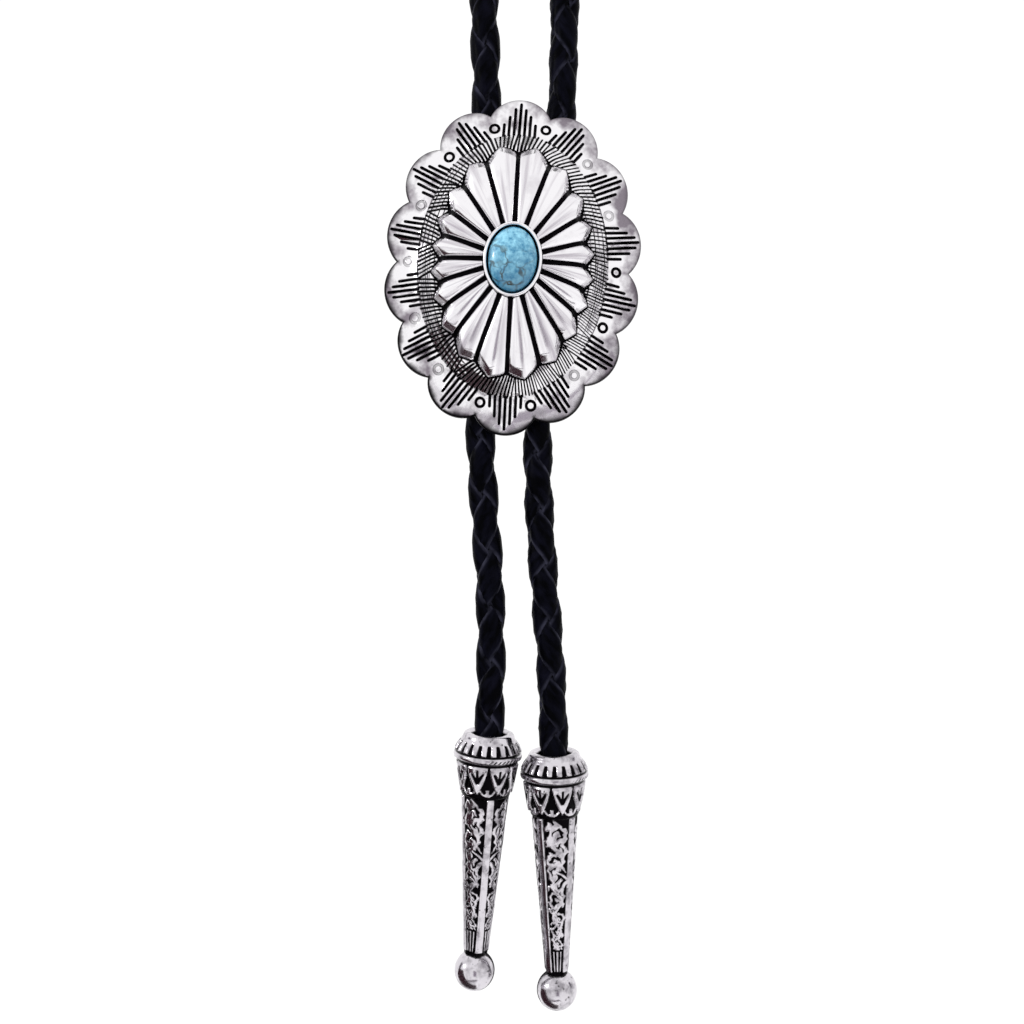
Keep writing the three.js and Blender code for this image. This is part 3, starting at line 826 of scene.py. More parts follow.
# Faces of a stack of rings, closed at each end round a middle point. The two middle points come last.
def stackFaces(rings, count):
    faces = [f for row in range(rings - 1) for f in ringWall((row + 1) * count, row * count, count)]
    for middle, first in ((rings * count, 0), (rings * count + 1, (rings - 1) * count)):
        faces += [(middle, first + i, first + (i + 1) % count) for i in range(count)]
    return faces


def makeMesh(name, points, faces, attributes=None):
    mesh = bpy.data.meshes.new(name)
    mesh.from_pydata(points, [], faces)
    for key, values in (attributes or {}).items():
        layer = mesh.attributes.new(key, "FLOAT", "POINT")
        layer.data.foreach_set("value", np.asarray(values, np.float32))
    mesh.polygons.foreach_set("use_smooth", [True] * len(mesh.polygons))
    return mesh


def pointOutwards(mesh):
    shape = bmesh.new()
    shape.from_mesh(mesh)
    bmesh.ops.recalc_face_normals(shape, faces=shape.faces)
    shape.to_mesh(mesh)
    shape.free()


# Rings of the plate's outer edge and hollow back, from the front's edge to the middle of the back
def plateBack(shares):
    rounding, thick, sheet = concho["rimRound"], concho["rimThickness"], concho["sheet"]
    rims = ((0.3, -0.25 * rounding), (0, -rounding), (0, rounding - thick),
            (0.3, 0.25 * rounding - thick), (1, -thick))
    ovals = [(bandOval - sheet / 4, -thick), (domeOval - sheet / 4, bandTop - sheet)]
    for share, rise in petals["rise"][4:0:-1]:
        oval = bezelOval + (domeOval - bezelOval) * share
        underFront = frontHeight(ovalPlaces(oval, shares)[0]).min() - sheet / 2
        ovals.append((oval, min(bandTop + concho["petalRise"] * rise - 1.5 * sheet, underFront)))
    ovals += [(bezelOval, stoneSeat - sheet), (bezelOval * 0.05, stoneSeat - sheet)]
    rows = [(scallops(-share * rounding), high) for share, high in rims]
    rows += [(ovalPlaces(oval, shares)[0], high) for oval, high in ovals]
    return [np.insert(ring, 1, -high, axis=1) for ring, high in rows]


def makeConchoPlate():
    chance = np.random.default_rng(stamps["seed"])
    lines, rings = rayLines(chance), notchRings(chance)
    lines += hatchLines(chance)
    outline = scallops(-concho["rimRound"])
    flat, front = conchoFront(lines, rings, outline)
    angle, reach = polar(flat)
    depth, dark = stampDepth(flat, lines, rings)
    pastPetals = reach - petalEnd(angle)
    dark = np.maximum(dark, np.clip((petals["endLine"] + 0.02 * mm - pastPetals) / stamps["slope"], 0, 1))
    height = frontHeight(flat) - stamps["depth"] * depth

    count, first = len(outline), len(flat)
    shares = evenly(count)
    rows = plateBack(shares)
    raised = np.insert(flat, 1, -height, axis=1)
    rim = np.insert(outline, 1, -frontHeight(outline), axis=1)
    edge = [int(np.argmin(np.linalg.norm(raised - point, axis=1))) for point in rim]
    after = [(i + 1) % count for i in range(count)]
    faces = front.tolist() + [(edge[i], first + i, first + after[i], edge[after[i]]) for i in range(count)]
    for row in range(len(rows) - 1):
        faces += ringWall(first + row * count, first + (row + 1) * count, count)
    faces.append(range(first + len(rows) * count - 1, first + (len(rows) - 1) * count - 1, -1))

    # Painted shade: grey towards the rim, and black on the rim's edge wall and outline, less on the upper
    # right
    backCount = len(rows) * count
    limit = np.interp(angle, *polar(outline), period=2 * np.pi)
    nearEdge = np.clip(1 - (limit - reach) / concho["rimShade"], 0, 1)
    # Painted shade on the rim's edge, most on the lower left
    paintedEdgeShade = stamps["paintedEdgeShade"] * (0.72 - 0.28 * np.cos(2 * np.pi * shares - 0.5))
    backEdgeShade = np.zeros(backCount)
    backEdgeShade[:4 * count] = np.tile(paintedEdgeShade, 4)
    atEdge = limit - reach < 0.01 * mm
    dark[atEdge] = np.interp(angle[atEdge], polar(outline)[0], 0.8 * paintedEdgeShade, period=2 * np.pi)
    points = np.concatenate([raised, *rows])
    mesh = makeMesh("concho_plate", points, faces, {
        "black": np.concatenate([dark, backEdgeShade]),
        "nearEdge": np.concatenate([nearEdge, np.full(backCount, concho["backDull"])]),
    })
    pointOutwards(mesh)
    smoothFront(mesh, np.concatenate([depth, np.ones(backCount)]))
    mesh.transform(conchoPlace)
    return newObject("concho_plate", mesh)


# Gives the unstamped front the true normals of its smooth height, so that it reflects evenly
def smoothFront(mesh, depth):
    mesh.set_sharp_from_angle(angle=math.radians(35))
    normals = np.array([n.vector[:] for n in mesh.corner_normals])
    corners = np.array([loop.vertex_index for loop in mesh.loops])
    flat = np.array([v.co[:] for v in mesh.vertices])[:, [0, 2]]
    step = 0.02 * mm
    slopeX, slopeZ = ((frontHeight(flat + way) - frontHeight(flat - way)) / (2 * step)
                      for way in ([step, 0], [0, step]))
    true = np.stack([-slopeX, -np.ones(len(flat)), -slopeZ], axis=1)
    true /= np.linalg.norm(true, axis=1)[:, None]
    faceOf = np.repeat(np.arange(len(mesh.polygons)), [p.loop_total for p in mesh.polygons])
    plain = np.array([max(depth[i] for i in p.vertices) == 0 for p in mesh.polygons])
    agree = np.sum(true[corners] * normals, axis=1) > 0.9
    use = plain[faceOf] & agree
    normals[use] = true[corners[use]]
    mesh.normals_split_custom_set(normals.tolist())


# One petal as a block, with x across it from -1 to 1, y out along it from 0 to 1, and z 1 on top
def petalBlock():
    across = np.sin(np.linspace(-1, 1, 13) * np.pi / 2)
    along = np.concatenate([np.linspace(0, 0.7, 14)[:-1], np.linspace(0.7, 1, 12)])
    grid = [(x, y) for y in along for x in across]
    count, wide, rows = len(grid), len(across), len(along)
    points = [(x, y, 1) for x, y in grid] + [(x, y, 0) for x, y in grid]
    faces = []
    for row in range(rows - 1):
        for column in range(wide - 1):
            at = row * wide + column
            top = (at, at + 1, at + wide + 1, at + wide)
            faces += [top, tuple(count + i for i in reversed(top))]
    rim = list(range(wide)) + [wide * row + wide - 1 for row in range(1, rows)]
    rim += [count - 1 - i for i in range(1, wide)] + [wide * row for row in range(rows - 2, 0, -1)]
    faces += [(b, a, count + a, count + b) for a, b in zip(rim, rim[1:] + rim[:1])]
    return makeMesh("petal", points, faces)


# Sets copies of a petal block round the dome, each bent to its place between two grooves
def petalTree(settings):
    tree, values = startTree("petalsRoundDome", settings)
    blocks = numberedCopies(tree, values, values["Geometry"], values["count"], ("across", "along", "top"))
    values["profile"] = addNode(tree, "ShaderNodeFloatCurve", {"Value": values["along"]})
    mapping = values["profile"].node.mapping
    curve = mapping.curves[0]
    while len(curve.points) < len(petals["rise"]):
        curve.points.new(0.5, 0.5)
    for point, place in zip(curve.points, petals["rise"]):
        point.location = place
    curve.points[-2].handle_type = "VECTOR"
    mapping.update()
    addSteps(tree, values, [
        ("step", "DIVIDE", 2 * math.pi, "count"),
        ("halfStep", "MULTIPLY", "step", 0.5),
        ("middle", "MULTIPLY_ADD", "number", "step", "halfStep"),
        ("fullTurn", "MULTIPLY_ADD", "across", "halfStep", "middle"),
        ("fullSine", "SINE", "fullTurn"),
        ("fullCosine", "COSINE", "fullTurn"),
    ])
    for oval in ("bezel", "dome"):
        addSteps(tree, values, [
            (oval + "X", "DIVIDE", "fullSine", oval + "Width"),
            (oval + "Z", "DIVIDE", "fullCosine", oval + "Height"),
            (oval + "XX", "MULTIPLY", oval + "X", oval + "X"),
            (oval + "Sum", "MULTIPLY_ADD", oval + "Z", oval + "Z", oval + "XX"),
            (oval + "Reach", "INVERSE_SQRT", oval + "Sum"),
        ])
    addSteps(tree, values, [
        ("span", "SUBTRACT", "domeReach", "bezelReach"),
        ("plainReach", "MULTIPLY_ADD", "span", "along", "bezelReach"),
        ("off", "ABSOLUTE", "across"),
        ("pointCut", "MULTIPLY", "off", "point"),
        ("pointCutOut", "MULTIPLY", "pointCut", "along"),
        ("reach", "SUBTRACT", "plainReach", "pointCutOut"),
        ("grooveTurn", "DIVIDE", "halfGroove", "reach"),
        ("swing", "SUBTRACT", "halfStep", "grooveTurn"),
        ("turn", "MULTIPLY_ADD", "swing", "across", "middle"),
        ("sine", "SINE", "turn"),
        ("cosine", "COSINE", "turn"),
        ("x", "MULTIPLY", "sine", "reach"),
        ("z", "MULTIPLY", "cosine", "reach"),
        # Height: the dome's profile, a round crown, and a softened edge
        ("offSquared", "MULTIPLY", "off", "off"),
        ("offEighth", "POWER", "off", 8.0),
        ("crownLoss", "MULTIPLY", "offSquared", "crown"),
        ("edgeLoss", "MULTIPLY_ADD", "offEighth", "edgeDrop", "crownLoss"),
        ("lifted", "MULTIPLY_ADD", "profile", "rise", "foot"),
        ("withCrown", "ADD", "lifted", "crown"),
        ("topHeight", "SUBTRACT", "withCrown", "edgeLoss"),
        ("floorHeight", "SUBTRACT", "lifted", "grooveDepth"),
        ("wallHeight", "SUBTRACT", "topHeight", "floorHeight"),
        ("height", "MULTIPLY_ADD", "wallHeight", "top", "floorHeight"),
        ("y", "MULTIPLY", "height", -1.0),
        ("lowSide", "SUBTRACT", 1.0, "top"),
    ])
    blackened = addNode(tree, "GeometryNodeStoreNamedAttribute", {
        "Geometry": blocks, "Name": "black", "Value": values["lowSide"]}, domain="POINT", data_type="FLOAT")
    place = addNode(tree, "ShaderNodeCombineXYZ", {i: values[axis] for i, axis in enumerate("xyz")})
    bent = markAndMove(tree, values, blackened, "onPetal", ("across", "along", "number"), place)
    return endTree(tree, bent, values["material"])


def makePetals(material):
    settings = {key: petals[key] for key in ("count", "point", "crown", "edgeDrop", "grooveDepth")}
    settings.update({
        "bezelWidth": bezelOval[0] + petals["footGap"], "bezelHeight": bezelOval[1] + petals["footGap"],
        "domeWidth": domeOval[0], "domeHeight": domeOval[1], "halfGroove": petals["groove"] / 2,
        "foot": bandTop, "rise": concho["petalRise"], "material": material,
    })
    made = grow("concho_petals", petalTree(settings), petalBlock(), settings)
    made.data.set_sharp_from_angle(angle=math.radians(50))
    made.data.transform(conchoPlace)
    return made


# Turns a closed mesh that is drawn in the concho's plane into an object in its place
def placeOnConcho(mesh):
    pointOutwards(mesh)
    mesh.set_sharp_from_angle(angle=math.radians(50))
    mesh.transform(conchoPlace)
    return newObject(mesh.name, mesh)


# The bezel: a ring round the stone's seat, with a rounded lip. Its section is out from the seat, height.
def makeBezel(count=96):
    wall, top = concho["bezelWall"], bezelTop
    section = [(0, top - 0.6 * wall)]
    for turn in np.linspace(0, math.pi, 7):
        section.append((wall / 2 * (1 - math.cos(turn)), top - 0.3 * wall * (1 - math.sin(turn))))
    section += [(wall, stoneSeat), (0, stoneSeat)]
    edge = list(zip(*ovalPlaces(seatOval, evenly(count))))
    points = [(p[0] + n[0] * out, -high, p[1] + n[1] * out) for out, high in section for p, n in edge]
    faces = []
    for row in range(len(section)):
        faces += ringWall(row * count, (row + 1) % len(section) * count, count)
    return placeOnConcho(makeMesh("concho_bezel", points, faces))


stone = {
    "height": 3 * mm,
    "girdle": 1 * mm,
    "sides": 72,
    "rings": 18,
    "cloudScale": 0.82 / mm,
    "cloudStops": ((0.37, "#2a789d"), (0.63, "#8ccae1")),
    "deep": "#1f5c7d",         # the darker blue towards the lower end
    "deepMost": 0.9,
    "vein": "#1a211b",
    "veinScale": 0.43 / mm,
    "veinWidth": (0.02, 0.085),    # core and edge, as shares of a cell
    "veinPatchScale": 0.33 / mm,   # patches of the stone have veins, and others none
    "bendScale": 0.7 / mm,
    "bend": 1.6 * mm,
}


# Rings from the top of the dome down to the foot
def makeStone():
    foot, sides = stoneSeat + concho["gap"], stone["sides"]
    shoulder, dome = foot + stone["girdle"], stone["height"] - stone["girdle"]
    lifts = math.pi / 2 * evenly(stone["rings"])[:0:-1]
    rows = [(math.cos(lift), shoulder + dome * math.sin(lift)) for lift in lifts]
    rows += [(1, shoulder), (1, foot)]
    edge = turned(*stoneOval, 2 * np.pi * evenly(sides))
    points = [(share * x, -high, share * z) for share, high in rows for x, z in edge]
    points += [(0, -foot - stone["height"], 0), (0, -foot, 0)]
    return placeOnConcho(makeMesh("cabochon", points, stackFaces(len(rows), sides)))


# Turquoise: soft blue patches, darker towards one end, under a web of brown-black matrix lines
def turquoiseMaterial():
    material, tree, surface = newMaterial("turquoise")
    place = addNode(tree, "ShaderNodeTexCoord", output="Object")
    clouds = addNode(tree, "ShaderNodeTexNoise", {
        "Vector": place, "Scale": stone["cloudScale"], "Detail": 5.0, "Roughness": 0.7})
    blues = addNode(tree, "ShaderNodeValToRGB", {0: clouds})
    for element, (stop, colour) in zip(blues.node.color_ramp.elements, stone["cloudStops"]):
        element.position = stop
        element.color = hexColour(colour)
    bent = addNode(tree, "ShaderNodeTexNoise", {
        "Vector": place, "Scale": stone["bendScale"], "Detail": 2.0}, "Color")
    shift = addNode(tree, "ShaderNodeVectorMath", {0: bent, "Scale": stone["bend"]}, operation="SCALE")
    moved = addNode(tree, "ShaderNodeVectorMath", {0: place, 1: shift}, operation="ADD")
    cells = addNode(tree, "ShaderNodeTexVoronoi", {"Vector": moved, "Scale": stone["veinScale"]}, "Distance",
                    feature="DISTANCE_TO_EDGE")
    web = addNode(tree, "ShaderNodeMapRange", {
        "Value": cells, "From Min": stone["veinWidth"][0], "From Max": stone["veinWidth"][1],
        "To Min": 1.0, "To Max": 0.0}, interpolation_type="SMOOTHSTEP")
    patches = addNode(tree, "ShaderNodeTexNoise", {
        "Vector": place, "Scale": stone["veinPatchScale"], "Detail": 1.0})
    seen = addNode(tree, "ShaderNodeMapRange", {
        "Value": patches, "From Min": 0.42, "From Max": 0.6, "To Max": 0.9})
    up = addNode(tree, "ShaderNodeSeparateXYZ", {0: moved}, 2)
    low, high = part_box("stone")
    deep = addNode(tree, "ShaderNodeMapRange", {
        "Value": up, "From Min": high.z - 2 * mm, "From Max": low.z, "To Max": stone["deepMost"]})
    values = {"web": web, "seen": seen, "deep": deep}
    addSteps(tree, values, [
        ("patchy", "MULTIPLY", "web", "seen"),
        ("lower", "MULTIPLY_ADD", "deep", 1.1, 0.55),
        ("veins", "MULTIPLY", "patchy", "lower"),
    ])
    shaded = addNode(tree, "ShaderNodeMix", {0: deep, 6: blues, 7: hexColour(stone["deep"])}, 2,
                     data_type="RGBA")
    setInputs(surface, {
        "Base Color": addNode(tree, "ShaderNodeMix", {
            0: values["veins"], 6: shaded, 7: hexColour(stone["vein"])}, 2, data_type="RGBA"),
        "Roughness": 0.28,
        "Coat Weight": 0.4,
        "Coat Roughness": 0.12,
    })
    return material


attach(makeConchoPlate(), "slide", "concho", silverMaterial("rubbedSilver"))
attach(makePetals(silverMaterial("streakAndReflectionSilver")), "slide", "concho")
attach(makeBezel(), "slide", "concho", silverMaterial("brightSilver"))
attach(makeStone(), "slide", "stone", turquoiseMaterial())
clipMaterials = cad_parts["slide_clip"].data.materials
clipMaterials.clear()
clipMaterials.append(silverMaterial("clipSteel"))
print("concho made")

# Cast tips. Distances run down from the mouth, and turns go round from one of the shaft's ribs.
tips = {
    "length": 44 * mm,
    "width": 11.4 * mm,
    "socket": 6 * mm,
    "mouth": 5.6 * mm,
    "lip": 1.5 * mm,
    "ball": 6.75 * mm,
    "columns": 240,
    "rowStep": 0.14 * mm,
    "turns": {"tip_left": math.radians(15), "tip_right": math.radians(47)},
    "slots": 20,
    "slotTurn": 0.1,
    "strokes": 46,
    "leaves": 8,
    "leafTurn": math.radians(12),
    "ribs": 4,
    "scrolls": 7,
    "seed": 3,
}
# Outside of a tip: share of its length, share of its half width
tipProfile = (
    (0.017, 0.755), (0.025, 0.79), (0.045, 0.91), (0.065, 0.985), (0.068, 0.91), (0.074, 0.91),
    (0.077, 0.985), (0.086, 1), (0.094, 0.985), (0.098, 0.89), (0.11, 0.88), (0.113, 0.83),
    (0.148, 0.79), (0.182, 0.75), (0.212, 0.72), (0.236, 0.71), (0.24, 0.64), (0.42, 0.545),
    (0.59, 0.45), (0.73, 0.37), (0.84, 0.31), (0.843, 0.285), (0.856, 0.28),
)
# Relief, all in millimetres. Each band fades in between its first two distances and out between the
# other two, where it has them.
tipBands = {
    "slots": (1.35, 1.55, 2.95, 3.1),
    "upperGroove": (2.96, 3.06, 3.27, 3.37),
    "strokes": (3.55, 3.75, 4.22, 4.32),
    "lowerGroove": (4.34, 4.44, 4.87, 4.97),
    "collar": (4.88, 4.98, 10.5, 10.62),
    "upperLeaves": (4.88, 5.02),
    "lowerLeaves": (6.6, 7),
    "veins": (8.5, 9),
    "shaft": (10.55, 10.7),
    "belowScrolls": (32.98, 33.02),
    "bars": (33.05, 33.3, 36.8, 36.95),
    "neck": (36.85, 36.95),
}
tipHeights = {
    "slot": -0.45,
    "stroke": -0.1,
    "upperLeaf": 0.42,
    "upperCrown": 0.12,
    "arrow": -0.32,
    "lowerLeaf": 0.24,
    "lowerHollow": -0.3,
    "rib": 0.36,
    "scrollwork": 0.3,
    "panel": -0.06,
    "unevenness": 0.012,
}
panelTop = 10.6
scrollTop, scrollEnd = 11.2, 33    # where the first wave starts and the last one ends


# Rises softly from 0 to 1 between two values
def soft(value, low, high):
    share = np.clip((value - low) / (high - low), 0, 1)
    return share * share * (3 - 2 * share)


def inBand(down, name):
    edges = tipBands[name]
    inside = soft(down, *edges[:2])
    return inside * (1 - soft(down, *edges[2:])) if edges[2:] else inside


# Signed distance round the tip to the nearest of so many evenly spaced places, as a share of their step
def aroundStep(turn, count, start=0.0):
    return ((turn - start) * count / (2 * np.pi) + 0.5) % 1 - 0.5


# Closeness to a thick line through points: 1 on it, 0 at its edge and beyond
def nearLine(x, y, line):
    best = np.zeros(np.broadcast(x, y).shape)
    for ax, ay, aWide, bx, by, bWide in np.hstack([line[:-1], line[1:]]):
        wayX, wayY = bx - ax, by - ay
        share = np.clip(((x - ax) * wayX + (y - ay) * wayY) / (wayX ** 2 + wayY ** 2 + 1e-12), 0, 1)
        far = np.hypot(x - ax - share * wayX, y - ay - share * wayY) / (aWide + (bWide - aWide) * share)
        best = np.maximum(best, np.sqrt(np.clip(1 - far ** 2, 0, 1)))
    return best


# Small leaves of each wave, from start to end, in half panel widths: across, down and half thickness
scrollLeaves = (
    ((0.62, 0.2, 0.38), (0.9, 0.95, 0.2)),
    ((0.5, -0.5, 0.24), (0.8, -0.85, 0.42)),
    ((-0.7, 0.7, 0.2), (-0.76, 1.2, 0.42)),
    ((-0.3, 1.05, 0.16), (-0.2, 1.35, 0.28)),
)


# Lines of the scrollwork in one panel, as the small leaves are given: a wavy stem, and for each wave a
# curl with a bead and its leaves
def scrollLines(length, count):
    chance = np.random.default_rng(tips["seed"])
    wave = length / count
    down = np.linspace(0, length, 16 * count)
    lines = [np.stack([0.56 * np.sin(np.pi * down / wave), down, 0.36 + 0.09 * np.sin(5 * down)], axis=1)]
    for number in range(count):
        middle, side = wave * (number + 0.5), 1 - 2 * (number % 2)
        turn = np.linspace(0, 2 * np.pi * 1.08, 22)
        reach = np.interp(turn, [0, 1.6, 3.2, 4.8, 6.8], [0.95, 0.74, 0.62, 0.36, 0.14])
        reach *= chance.uniform(0.9, 1.15)
        thick = np.interp(turn, [0, 2, 6.8], [0.24, 0.4, 0.24])
        across = -side * (0.2 + reach * np.sin(turn))
        lines.append(np.stack([across, middle - reach * np.cos(turn), thick], axis=1))
        bead = ((-0.2, 0, 0.3), (-0.2, 0.02, 0.3))
        for ends in (bead, *scrollLeaves):
            lines.append(np.array([(side * across, middle + below, half) for across, below, half in ends]))
    return lines


# Scrollwork between the ribs, every other panel mirrored, from the distance across each half panel
def scrollRelief(down, acrossPanel, halfPanel):
    rows = np.flatnonzero((down > panelTop) & (down < scrollEnd))
    widths = np.cumsum(np.gradient(down[rows]) / halfPanel[rows])
    start, end = np.interp((scrollTop, scrollEnd), down[rows], widths)
    w = (widths - start)[:, None]
    u = acrossPanel[rows, :tips["columns"] // tips["ribs"]]
    # Bent a little, so that no two waves are alike
    bentAcross = u + 0.14 * np.sin(2.3 * w + 1) + 0.09 * np.sin(6.1 * w + 2 * u)
    u, w = bentAcross, w + 0.2 * np.sin(2.9 * u + 1.7 * w)
    u, w = u + 0.06 * np.sin(11 * w), w + 0.06 * np.sin(9 * u + 3 * w)
    raised = np.zeros(u.shape)
    for line in scrollLines(end - start, tips["scrolls"]):
        near = (w.max(axis=1) > line[:, 1].min() - 0.7) & (w.min(axis=1) < line[:, 1].max() + 0.7)
        raised[near] = np.maximum(raised[near], nearLine(u[near], w[near], line))
    mirrored = np.roll(raised[:, ::-1], 1, axis=1)
    scroll = np.zeros(acrossPanel.shape)
    scroll[rows] = np.concatenate([raised, mirrored] * (tips["ribs"] // 2), axis=1)
    return scroll


# Two rows of leaves on the collar: their height, and how black they are
def leafRelief(d, turn, base):
    step = 2 * np.pi / tips["leaves"]
    arcs = [aroundStep(turn, tips["leaves"], tips["leafTurn"] + start) * step * base / mm
            for start in (0, step / 2)]
    share = np.clip((d - 4.9) / 4.9, 0, 1)
    leaf = soft(1.75 * (1 - share ** 1.6) - abs(arcs[0]), -0.02, 0.16) * inBand(d, "upperLeaves")
    arrow = np.maximum(
        nearLine(arcs[0], d, np.array([(0, 5.6, 0.18), (0, 7.1, 0.24)])),
        nearLine(arcs[0], d, np.array([(-0.9, 6.1, 0.2), (0, 7.5, 0.4), (0.9, 6.1, 0.2)])))
    half = 1.66 * np.sqrt(np.clip(1 - ((d - 8.1) / 1.85) ** 2, 0, 1))
    lowLeaf = soft(half - abs(arcs[1]), -0.02, 0.14) * inBand(d, "lowerLeaves")
    vein = soft(0.3 - abs(arcs[1]), -0.05, 0.12) * inBand(d, "veins")
    hollow = soft(half - 0.4 - abs(arcs[1]), -0.05, 0.1) * (1 - soft(d, 9.3, 9.6)) * (1 - vein)
    low = tipHeights["lowerLeaf"] * lowLeaf + tipHeights["lowerHollow"] * hollow
    crown = tipHeights["upperCrown"] * (1 - (arcs[0] / 1.8) ** 2)
    high = leaf * (tipHeights["upperLeaf"] + crown + tipHeights["arrow"] * arrow)
    edge = soft(leaf, 0.05, 0.9)
    dark = edge * arrow + (1 - edge) * np.where(leaf > 0.04, 1, np.maximum(1 - lowLeaf, hollow))
    return edge * high + (1 - edge) * low, soft(dark, 0.25, 0.75)


# Height of the relief over a tip's outside, and how black it is. The tip's rows are down and its
# columns round.
def tipRelief(down, turn, base):
    chance = np.random.default_rng(tips["seed"])
    d = down / mm
    out = np.zeros(np.broadcast(down, turn).shape)
    wearTurn = chance.uniform(0, 2 * np.pi, 6)
    wear = sum(np.sin((i + 2) * turn + wearTurn[i]) for i in range(3)) / 3

    # Slots of the crown, and slanting strokes on the ring between two dark grooves
    off = abs(aroundStep(turn, tips["slots"], tips["slotTurn"]))
    slot = soft(0.19 + 0.04 * (d - 1.4) - off, -0.05, 0.05) * inBand(d, "slots")
    stroke = abs((turn * tips["strokes"] / (2 * np.pi) + (d - 3.4) / 0.8) % 1 - 0.5)
    stroke = soft(0.2 - stroke, -0.06, 0.06) * inBand(d, "strokes") * soft(wear, -0.25, 0.2)
    out += tipHeights["slot"] * slot + tipHeights["stroke"] * stroke
    leaves, leafBlack = leafRelief(d, turn, base)
    collar = inBand(d, "collar")
    out += collar * leaves

    # Ribs of the shaft, and panels between them with scrollwork over narrow bars
    ribStep = 2 * np.pi / tips["ribs"]
    halfPanel = ribStep / 2 * base / mm - 0.85
    onRib = soft(0.62 - abs(aroundStep(turn, tips["ribs"])) * ribStep * base / mm, -0.07, 0.12)
    acrossPanel = aroundStep(turn, tips["ribs"], ribStep / 2) * ribStep * base / mm / halfPanel
    scroll = scrollRelief(d[:, 0], acrossPanel, halfPanel[:, 0]) * (1 - inBand(d, "belowScrolls"))
    bars = soft(abs(abs(acrossPanel) - 0.42), 0.1, 0.24) * soft(0.98 - abs(acrossPanel), 0, 0.1)
    relief = np.maximum(scroll, 0.9 * bars * inBand(d, "bars"))
    shaft = inBand(d, "shaft")
    panel = shaft * (1 - onRib)
    out += shaft * tipHeights["rib"] * onRib
    out += panel * (tipHeights["scrollwork"] * relief + tipHeights["panel"])

    # Slightly uneven casting
    for _ in range(5):
        lobes, waves, phase = chance.integers(1, 7), chance.uniform(0.2, 1.2), chance.uniform(0, 6, 2)
        out += tipHeights["unevenness"] * np.sin(lobes * turn + phase[0]) * np.sin(waves * d + phase[1])

    black = np.zeros(out.shape)
    for dark in (slot, 0.9 * stroke, inBand(d, "upperGroove"), inBand(d, "lowerGroove"), collar * leafBlack,
                 panel * soft(-relief, -0.93, -0.66), inBand(d, "neck")):
        black = np.maximum(black, dark)
    return out * mm, black


# Rings of points from the socket's floor over the lip and down to the ball: radius, distance down, black
def tipRings():
    turn = (2 * np.pi * evenly(tips["columns"]))[None, :]
    at, wide = np.array(tipProfile).T
    down = np.arange(at[0] * tips["length"], at[-1] * tips["length"], tips["rowStep"])[:, None]
    base = np.interp(down, at * tips["length"], wide * tips["width"] / 2)
    relief, black = tipRelief(down, turn, base)
    plain = np.ones_like(turn)
    mouth, lip, ball = tips["mouth"] / 2, tips["lip"] / 2, tips["ball"] / 2
    rings = [(mouth * 0.05 * plain, tips["socket"], plain), (mouth * plain, tips["socket"], plain),
             (mouth * plain, lip * 1.6, plain)]
    for angle in np.linspace(np.pi, 0, 11)[:-1]:
        sooty = plain * max(0, (angle - 2.3) / 0.85)
        rings.append(((mouth + lip + lip * math.cos(angle)) * plain, lip * (1 - math.sin(angle)), sooty))
    rings += [(base[i] + relief[i], down[i, 0], black[i]) for i in range(len(down))]
    neck = math.asin(wide[-1] * tips["width"] / 2 / ball)
    for angle in np.linspace(neck, np.pi, 44)[:-1]:
        sooty = plain * max(0, 1 - (angle - neck) / 0.12)
        rings.append((ball * math.sin(angle) * plain, tips["length"] - ball * (1 + math.cos(angle)), sooty))
    return turn.ravel(), rings


def makeTips(material):
    turn, rings = tipRings()
    black = np.concatenate([ring[2].ravel() for ring in rings] + [[1, 0]])
    faces = stackFaces(len(rings), tips["columns"])
    made = {}
    ends = {"tip_left": cordLine[:2], "tip_right": cordLine[:-3:-1]}
    for node, (end, beside) in ends.items():
        angle = turn + tips["turns"][node]
        points = []
        for radius, down, _ in rings:
            across, front = radius.ravel() * np.sin(angle), -radius.ravel() * np.cos(angle)
            points.append(np.stack([across, front, np.full(len(turn), -down)], axis=1))
        points.append([(0, 0, -tips["socket"]), (0, 0, -tips["length"])])
        mesh = makeMesh("cast_" + node, np.concatenate(points), faces, {"black": black})
        pointOutwards(mesh)
        way = Vector(end - beside).normalized()
        lean = Vector((0, 0, -1)).rotation_difference(way).to_matrix().to_4x4()
        mouth = Vector(end) + way * (concho["gap"] - tips["socket"])
        mesh.transform(Matrix.Translation(mouth) @ lean)
        made[node] = newObject("cast_" + node, mesh)
        attach(made[node], "cord", node, material)
    return made


castTips = makeTips(silverMaterial("antiquedSilver"))
print("tips made:", {name: len(piece.data.polygons) for name, piece in castTips.items()})

# The two free ends, each from the slide down to its tip
for name, tip in (("braid_left_end", "tip_left"), ("braid_right_end", "tip_right")):
    start, end, _ = stretches[name]
    path = stretchOf(start, end)
    if name == "braid_left_end":
        path = path[::-1]

# Studio: white all round, with dark cards that only the metal's reflections show
studio = {
    "floorHeight": -0.9,
    "floorSize": 8.0,
    "floor": "#fdfdfd",
    "white": 1.06,
    "keyPower": 2.0,
    "keySize": (0.42, 0.3),
    "keyPlace": (-0.35, -0.8, 0.25),
    "kickPower": 1.5,
    "kickSize": 0.09,
    "kickPlace": (-0.75, -0.42, 0.0),
    "target": (0, -0.13, -0.28),
}
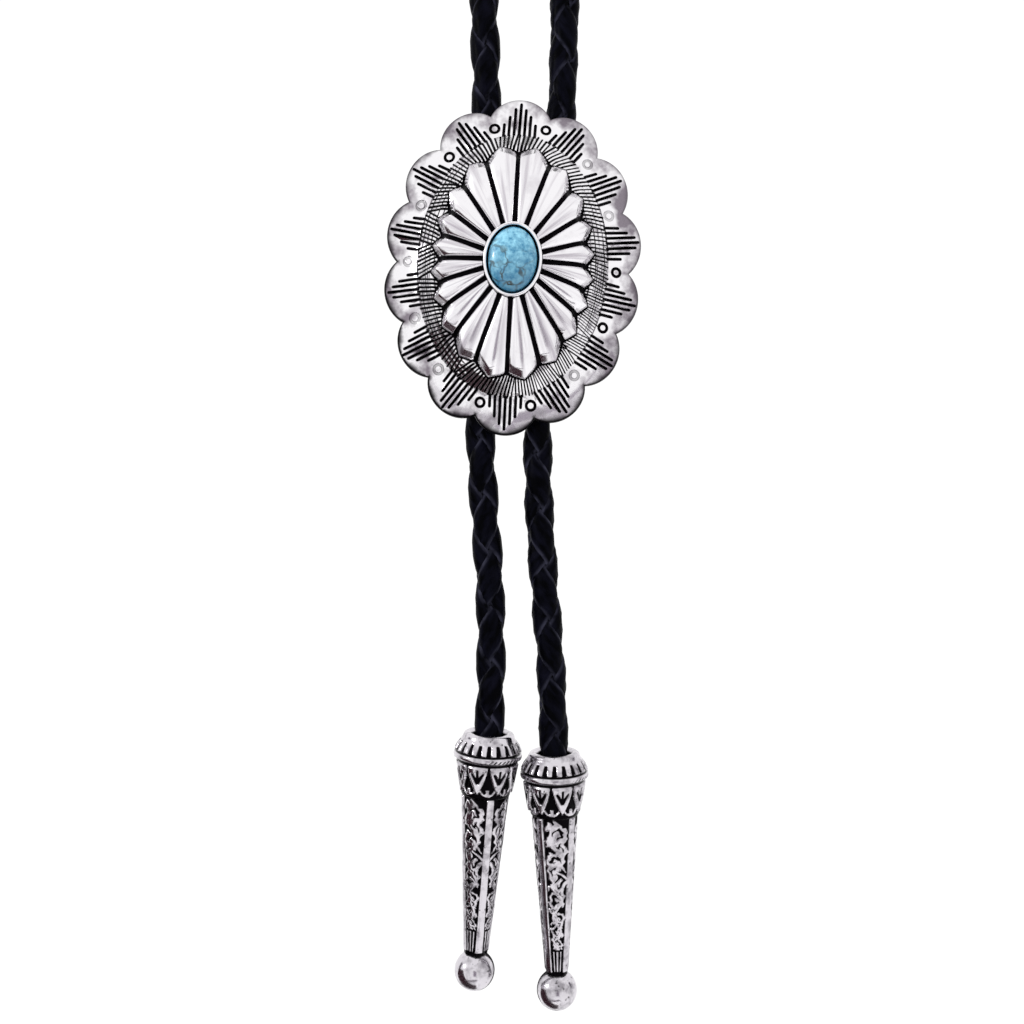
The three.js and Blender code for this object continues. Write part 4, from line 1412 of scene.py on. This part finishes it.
# Each card: middle, the point that it faces, width, height and colour
cards = {
    "lowLeft": ((-0.22, -0.15, -0.6), (0, -0.13, -0.38), 0.3, 0.74, "#2c101b"),
    "left": ((-0.45, -0.08, -0.26), (0, -0.13, -0.26), 0.12, 0.22, "#57525b"),
    "right": ((0.44, -0.1, -0.24), (0, -0.13, -0.26), 0.12, 0.2, "#57525b"),
    "between": ((0.0005, -0.113, -0.364), (0.0005, -0.128, -0.364), 0.013, 0.05, "#161117"),
    "front": ((0.05, -1.1, -0.42), (0, -0.13, -0.3), 0.3, 0.5, "#8f8792"),
    "frontLow": ((-0.1, -0.5, -0.75), (0, -0.13, -0.3), 0.5, 0.1, "#6b646d"),
}


def faceTowards(thing, place, target):
    thing.location = place
    thing.rotation_euler = (Vector(target) - Vector(place)).to_track_quat("-Z", "Y").to_euler()


# Flat sheet of plain painted paper, which isn't part of the tie
def makeSheet(name, width, height, finish, colour, roughness):
    x, y = width / 2, height / 2
    mesh = makeMesh(name, [(-x, -y, 0), (x, -y, 0), (x, y, 0), (-x, y, 0)], [(0, 1, 2, 3)])
    material, _, surface = newMaterial(finish)
    setInputs(surface, {"Base Color": hexColour(colour), "Roughness": roughness})
    mesh.materials.append(material)
    return newObject(name, mesh)


def makeLight(name, power, place):
    light = bpy.data.lights.new(name, "AREA")
    light.energy = power
    lamp = newObject(name, light)
    faceTowards(lamp, place, studio["target"])
    return light, lamp


def makeStage():
    world = bpy.data.worlds.new("studio")
    bpy.context.scene.world = world
    world.use_nodes = True
    setInputs(world.node_tree.nodes["Background"], {"Color": (1, 1, 1, 1), "Strength": studio["white"]})
    bpy.context.scene.view_settings.view_transform = "Standard"
    size = studio["floorSize"]
    floor = makeSheet("studio_floor", size, size, "palePaper", studio["floor"], 0.8)
    floor.location.z = studio["floorHeight"]
    for name, (place, target, width, height, colour) in cards.items():
        card = makeSheet("card_" + name, width, height, "card_" + name, colour, 1.0)
        faceTowards(card, place, target)
        card.visible_camera = False
        card.visible_diffuse = False
        card.visible_shadow = False
    key, softbox = makeLight("key", studio["keyPower"], studio["keyPlace"])
    key.shape = "RECTANGLE"
    key.size, key.size_y = studio["keySize"]
    softbox.visible_glossy = False
    kick, _ = makeLight("kick", studio["kickPower"], studio["kickPlace"])
    kick.size = studio["kickSize"]


makeStage()
print("stage ready")
